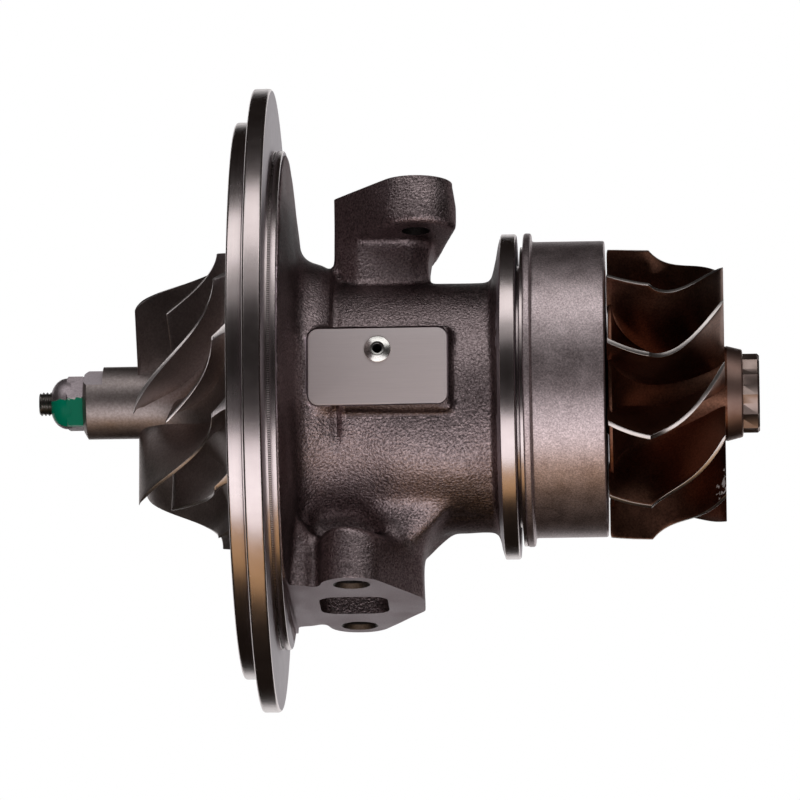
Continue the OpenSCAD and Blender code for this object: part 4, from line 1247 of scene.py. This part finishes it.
# %% Thread
def make_shaft(around=64, per_pitch=10):
    rows = int((THREAD_START - THREAD_END) / THREAD_PITCH * per_pitch)
    rings = [[] for _ in range(rows + 1)]
    for i, ring in enumerate(rings):
        x = mix(THREAD_END, THREAD_START, i / rows)
        for j in range(around):
            wave = abs(((x * (1 / THREAD_PITCH) + j / around) % 1) * 2 - 1)
            r = min(THREAD_R - THREAD_DEPTH * wave, THREAD_R - THREAD_CHAMFER + (x - THREAD_END))
            ring.append(on_shaft(x, r, 2 * math.pi * j / around))
    return carve(lathe("rotor_shaft_turned", SHAFT_OUTLINE, 96), [loft("thread", *rings)], "UNION")


print("thread pitch in mm:", THREAD_PITCH)

# %% [markdown]
# The mark of paint is part of the nut's material. It covers one side of the nut, with a ragged edge that
# comes from noise. Paint isn't metal, so the metallic value is 0 under it.

# %% Paint mark, nut and shaft
def paint_mark(material, colour, middle, half):
    """Adds a dab of paint round the shaft, from its middle angle to half its width each way."""
    tree = material.node_tree
    inputs = tree.nodes["Principled BSDF"].inputs
    inputs["Specular IOR Level"].default_value = PAINT_SHINE
    place = object_place(tree)
    outward = vector_node(tree, "NORMALIZE", vector_node(tree, "MULTIPLY", place, (0, 1, 1)))
    facing = vector_node(tree, "DOT_PRODUCT", outward, on_shaft(0, 1, middle), output="Value")
    ragged = math_node(tree, "MULTIPLY_ADD", noise_node(tree, place, 700.0), 0.16, facing)
    mask = map_node(tree, ragged, math.cos(half) + 0.07, math.cos(half) + 0.09)
    cover(material, mask, colour)
    bare = inputs["Roughness"].links[0].from_socket
    give(tree, inputs["Roughness"], math_node(tree, "MULTIPLY_ADD", mask, PAINT_SMOOTHER, bare))


paint_mark(NUT_STEEL, PAINT_GREEN, PAINT_MIDDLE, PAINT_HALF)
nut = make_nut()
dress(nut, "rotor", "lock_nut", 30, [NUT_STEEL])
shaft = make_shaft()
dress(shaft, "rotor", "rotor_shaft", 30, [THREAD_STEEL])
print("nut and thread made")

# %% [markdown]
# The nameplate is stamped from thin aluminium and held by one hollow rivet. A thin prism with beveled edges
# is enough for the plate. The rivet is a small turned ring that is swung round to face the camera. Its bore
# is painted dark steel as shade.

# %% Nameplate and rivet
RIVET_OUTLINE = [
    (-4, 1.0), (-4, 1.45), (0.8, 1.45), (0.8, 3.2, 0.1), (1.1, 3.2, 0.25), (1.8, 1.7, 0.3), (1.7, 1.15, 0.15),
    (1.0, 1.0),
]
# Inside this radius, the rivet's bore is painted dark steel as shade.
RIVET_SHADE_R = 1.2


def rivet_finish(place, normal):
    # Painted shade: the bore of the rivet gets dark steel.
    dark = math.hypot(place.x - PLATE_X, place.z - RIVET_Z) < RIVET_SHADE_R
    return SPRING_STEEL if dark else RIVET_METAL


plate = crosswise("nameplate_sheet", plate_outline(0, 0), PLATE_SEAT, PLATE_SEAT - PLATE_T)
round_edges(plate, 0.25)
carve(plate, [rivet_hole()])
dress(plate, "housing", "nameplate", 30, [PLATE_METAL])
rivet = facing_out(lathe("nameplate_rivet_head", RIVET_OUTLINE, 64), RIVET_Z)
dress(rivet, "housing", "nameplate_rivet", 30, [RIVET_METAL, SPRING_STEEL], rivet_finish)
print("plate and rivet made")

# %% [markdown]
# The pieces inside are shown as the CAD made them, each with its own finish. They can't be seen from
# outside, so meshes of their own would add nothing.

# %% Inner pieces
INNER_FINISHES = {
    "seal_insert": INSERT_METAL, "insert_o_ring": RUBBER, "insert_retaining_ring": SPRING_STEEL,
    "oil_deflector": SHIELD_STEEL, "thrust_bearing": BRONZE, "thrust_pins": INSERT_METAL,
    "compressor_seal_ring": SPRING_STEEL, "turbine_seal_ring": SPRING_STEEL,
    "bearing_snap_rings": SPRING_STEEL, "flinger_sleeve": INSERT_METAL, "front_thrust_ring": INSERT_METAL,
    "rear_thrust_ring": INSERT_METAL,
    "compressor_journal_bush": BRONZE, "turbine_journal_bush": BRONZE,
}
for name, material in INNER_FINISHES.items():
    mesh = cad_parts[name].data
    mesh.materials.clear()
    mesh.materials.append(material)
print("inner pieces:", len(INNER_FINISHES))

# %% [markdown]
# The light follows the reflections in the photo. Going round the shaft they show a strip softbox in front and
# overhead, darkness at the height of the camera, a broad bright sheet in front and below, and a warm table
# under that. Dark curtains, which the camera does not see, stand for the room. Behind all is plain white.
# There is no floor, because the camera looks up from below and would see only the floor.

# %% Lamps
STUDIO_R, STUDIO_HALF = 1.7, 1.7
LAMP_DISTANCE, LAMP_LENGTH = 1.25, 2.6
CLOTH_COLOUR = (0.042, 0.031, 0.025, 1)
ROOM_COLOUR, BACKDROP_COLOUR = (0.2, 0.19, 0.185, 1), (1, 1, 1, 1)


def toward_light(elevation):
    a = math.radians(elevation)
    return Vector((0, -math.cos(a), math.sin(a)))


def softbox(name, elevation, spread, radiance, colour=(1, 1, 1)):
    """A strip light along the shaft that covers the given spread of elevation."""
    data = bpy.data.lights.new(name, "AREA")
    data.shape = "RECTANGLE"
    data.size, data.size_y = LAMP_LENGTH, 2 * LAMP_DISTANCE * math.tan(math.radians(spread / 2))
    data.energy = radiance * math.pi * data.size * data.size_y
    data.color = colour
    lamp = bpy.data.objects.new(name, data)
    lamp.location = LOOK_AT + toward_light(elevation) * LAMP_DISTANCE
    lamp.rotation_euler = toward_light(elevation).to_track_quat("Z", "X").to_euler()
    lamp.rotation_euler.rotate_axis("Z", math.radians(90))
    bpy.context.scene.collection.objects.link(lamp)


print("lamps at", LAMP_DISTANCE, "m")

# %% [markdown]
# Curved metal mirrors the whole room. With nothing dark round the object, the rings would mirror plain white
# and look flat. The cloth is one strip bent round the shaft and two round end pieces, all hidden from the
# camera.

# %% Curtains
def curtain_cloth():
    cloth = bpy.data.materials.new("curtain cloth")
    cloth.use_nodes = True
    inputs = cloth.node_tree.nodes["Principled BSDF"].inputs
    inputs["Base Color"].default_value = CLOTH_COLOUR
    inputs["Roughness"].default_value = 1
    inputs["Specular IOR Level"].default_value = 0
    return cloth


CLOTH = curtain_cloth()


def hang(name, verts, faces):
    """Puts up a curtain that lights and reflections see and the camera does not."""
    mesh = bpy.data.meshes.new(name)
    mesh.from_pydata([LOOK_AT + v for v in verts], [], faces)
    mesh.materials.append(CLOTH)
    cloth = new_object(name, mesh)
    cloth.visible_camera = False


def curtain(name, start, end, step=4):
    """A curtain round the shaft between two elevations, where 90 is overhead and 180 is behind."""
    count = max(2, round(abs(end - start) / step))
    verts = []
    for i in range(count + 1):
        arm = toward_light(mix(start, end, i / count)) * STUDIO_R
        verts += [arm + Vector((x, 0, 0)) for x in (-STUDIO_HALF, STUDIO_HALF)]
    hang(name, verts, [(2 * i, 2 * i + 1, 2 * i + 3, 2 * i + 2) for i in range(count)])


def end_curtain(name, x, count=32):
    ring = [toward_light(360 * i / count) * STUDIO_R + Vector((x, 0, 0)) for i in range(count)]
    hang(name, ring, [tuple(range(count))])


print("curtains at", STUDIO_R, "m")

# %% [markdown]
# The world is white where the camera, a mirror or glass looks straight at it, and a dim grey for the light
# that it sends on the object. So the backdrop is white and the metal isn't washed out.

# %% White backdrop
def white_world():
    world = bpy.data.worlds.new("white backdrop")
    bpy.context.scene.world = world
    world.use_nodes = True
    world.cycles.sampling_method = "NONE"
    tree = world.node_tree
    tree.nodes.clear()
    room = node(tree, "ShaderNodeBackground", {"Color": ROOM_COLOUR})
    white = node(tree, "ShaderNodeBackground", {"Color": BACKDROP_COLOUR})
    seen = tree.nodes.new("ShaderNodeLightPath").outputs
    direct = math_node(tree, "MAXIMUM", seen["Is Camera Ray"], seen["Is Glossy Ray"])
    direct = math_node(tree, "MAXIMUM", direct, seen["Is Transmission Ray"])
    backdrop = node(tree, "ShaderNodeMixShader", {0: direct, 1: room, 2: white})
    give(tree, tree.nodes.new("ShaderNodeOutputWorld").inputs[0], backdrop)


softbox("overhead strip", 55.5, 27, 1.4)
softbox("strip fall-off", 34, 16, 0.42)
softbox("front sheet", -45, 35, 1.55, (1.0, 0.98, 1.0))
softbox("warm table", -75.5, 23, 0.58, (1.0, 0.6, 0.26))
curtain("room curtain", -164, 143)
end_curtain("left curtain", -STUDIO_HALF)
end_curtain("right curtain", STUDIO_HALF)
white_world()
bpy.context.scene.view_settings.view_transform = "Standard"
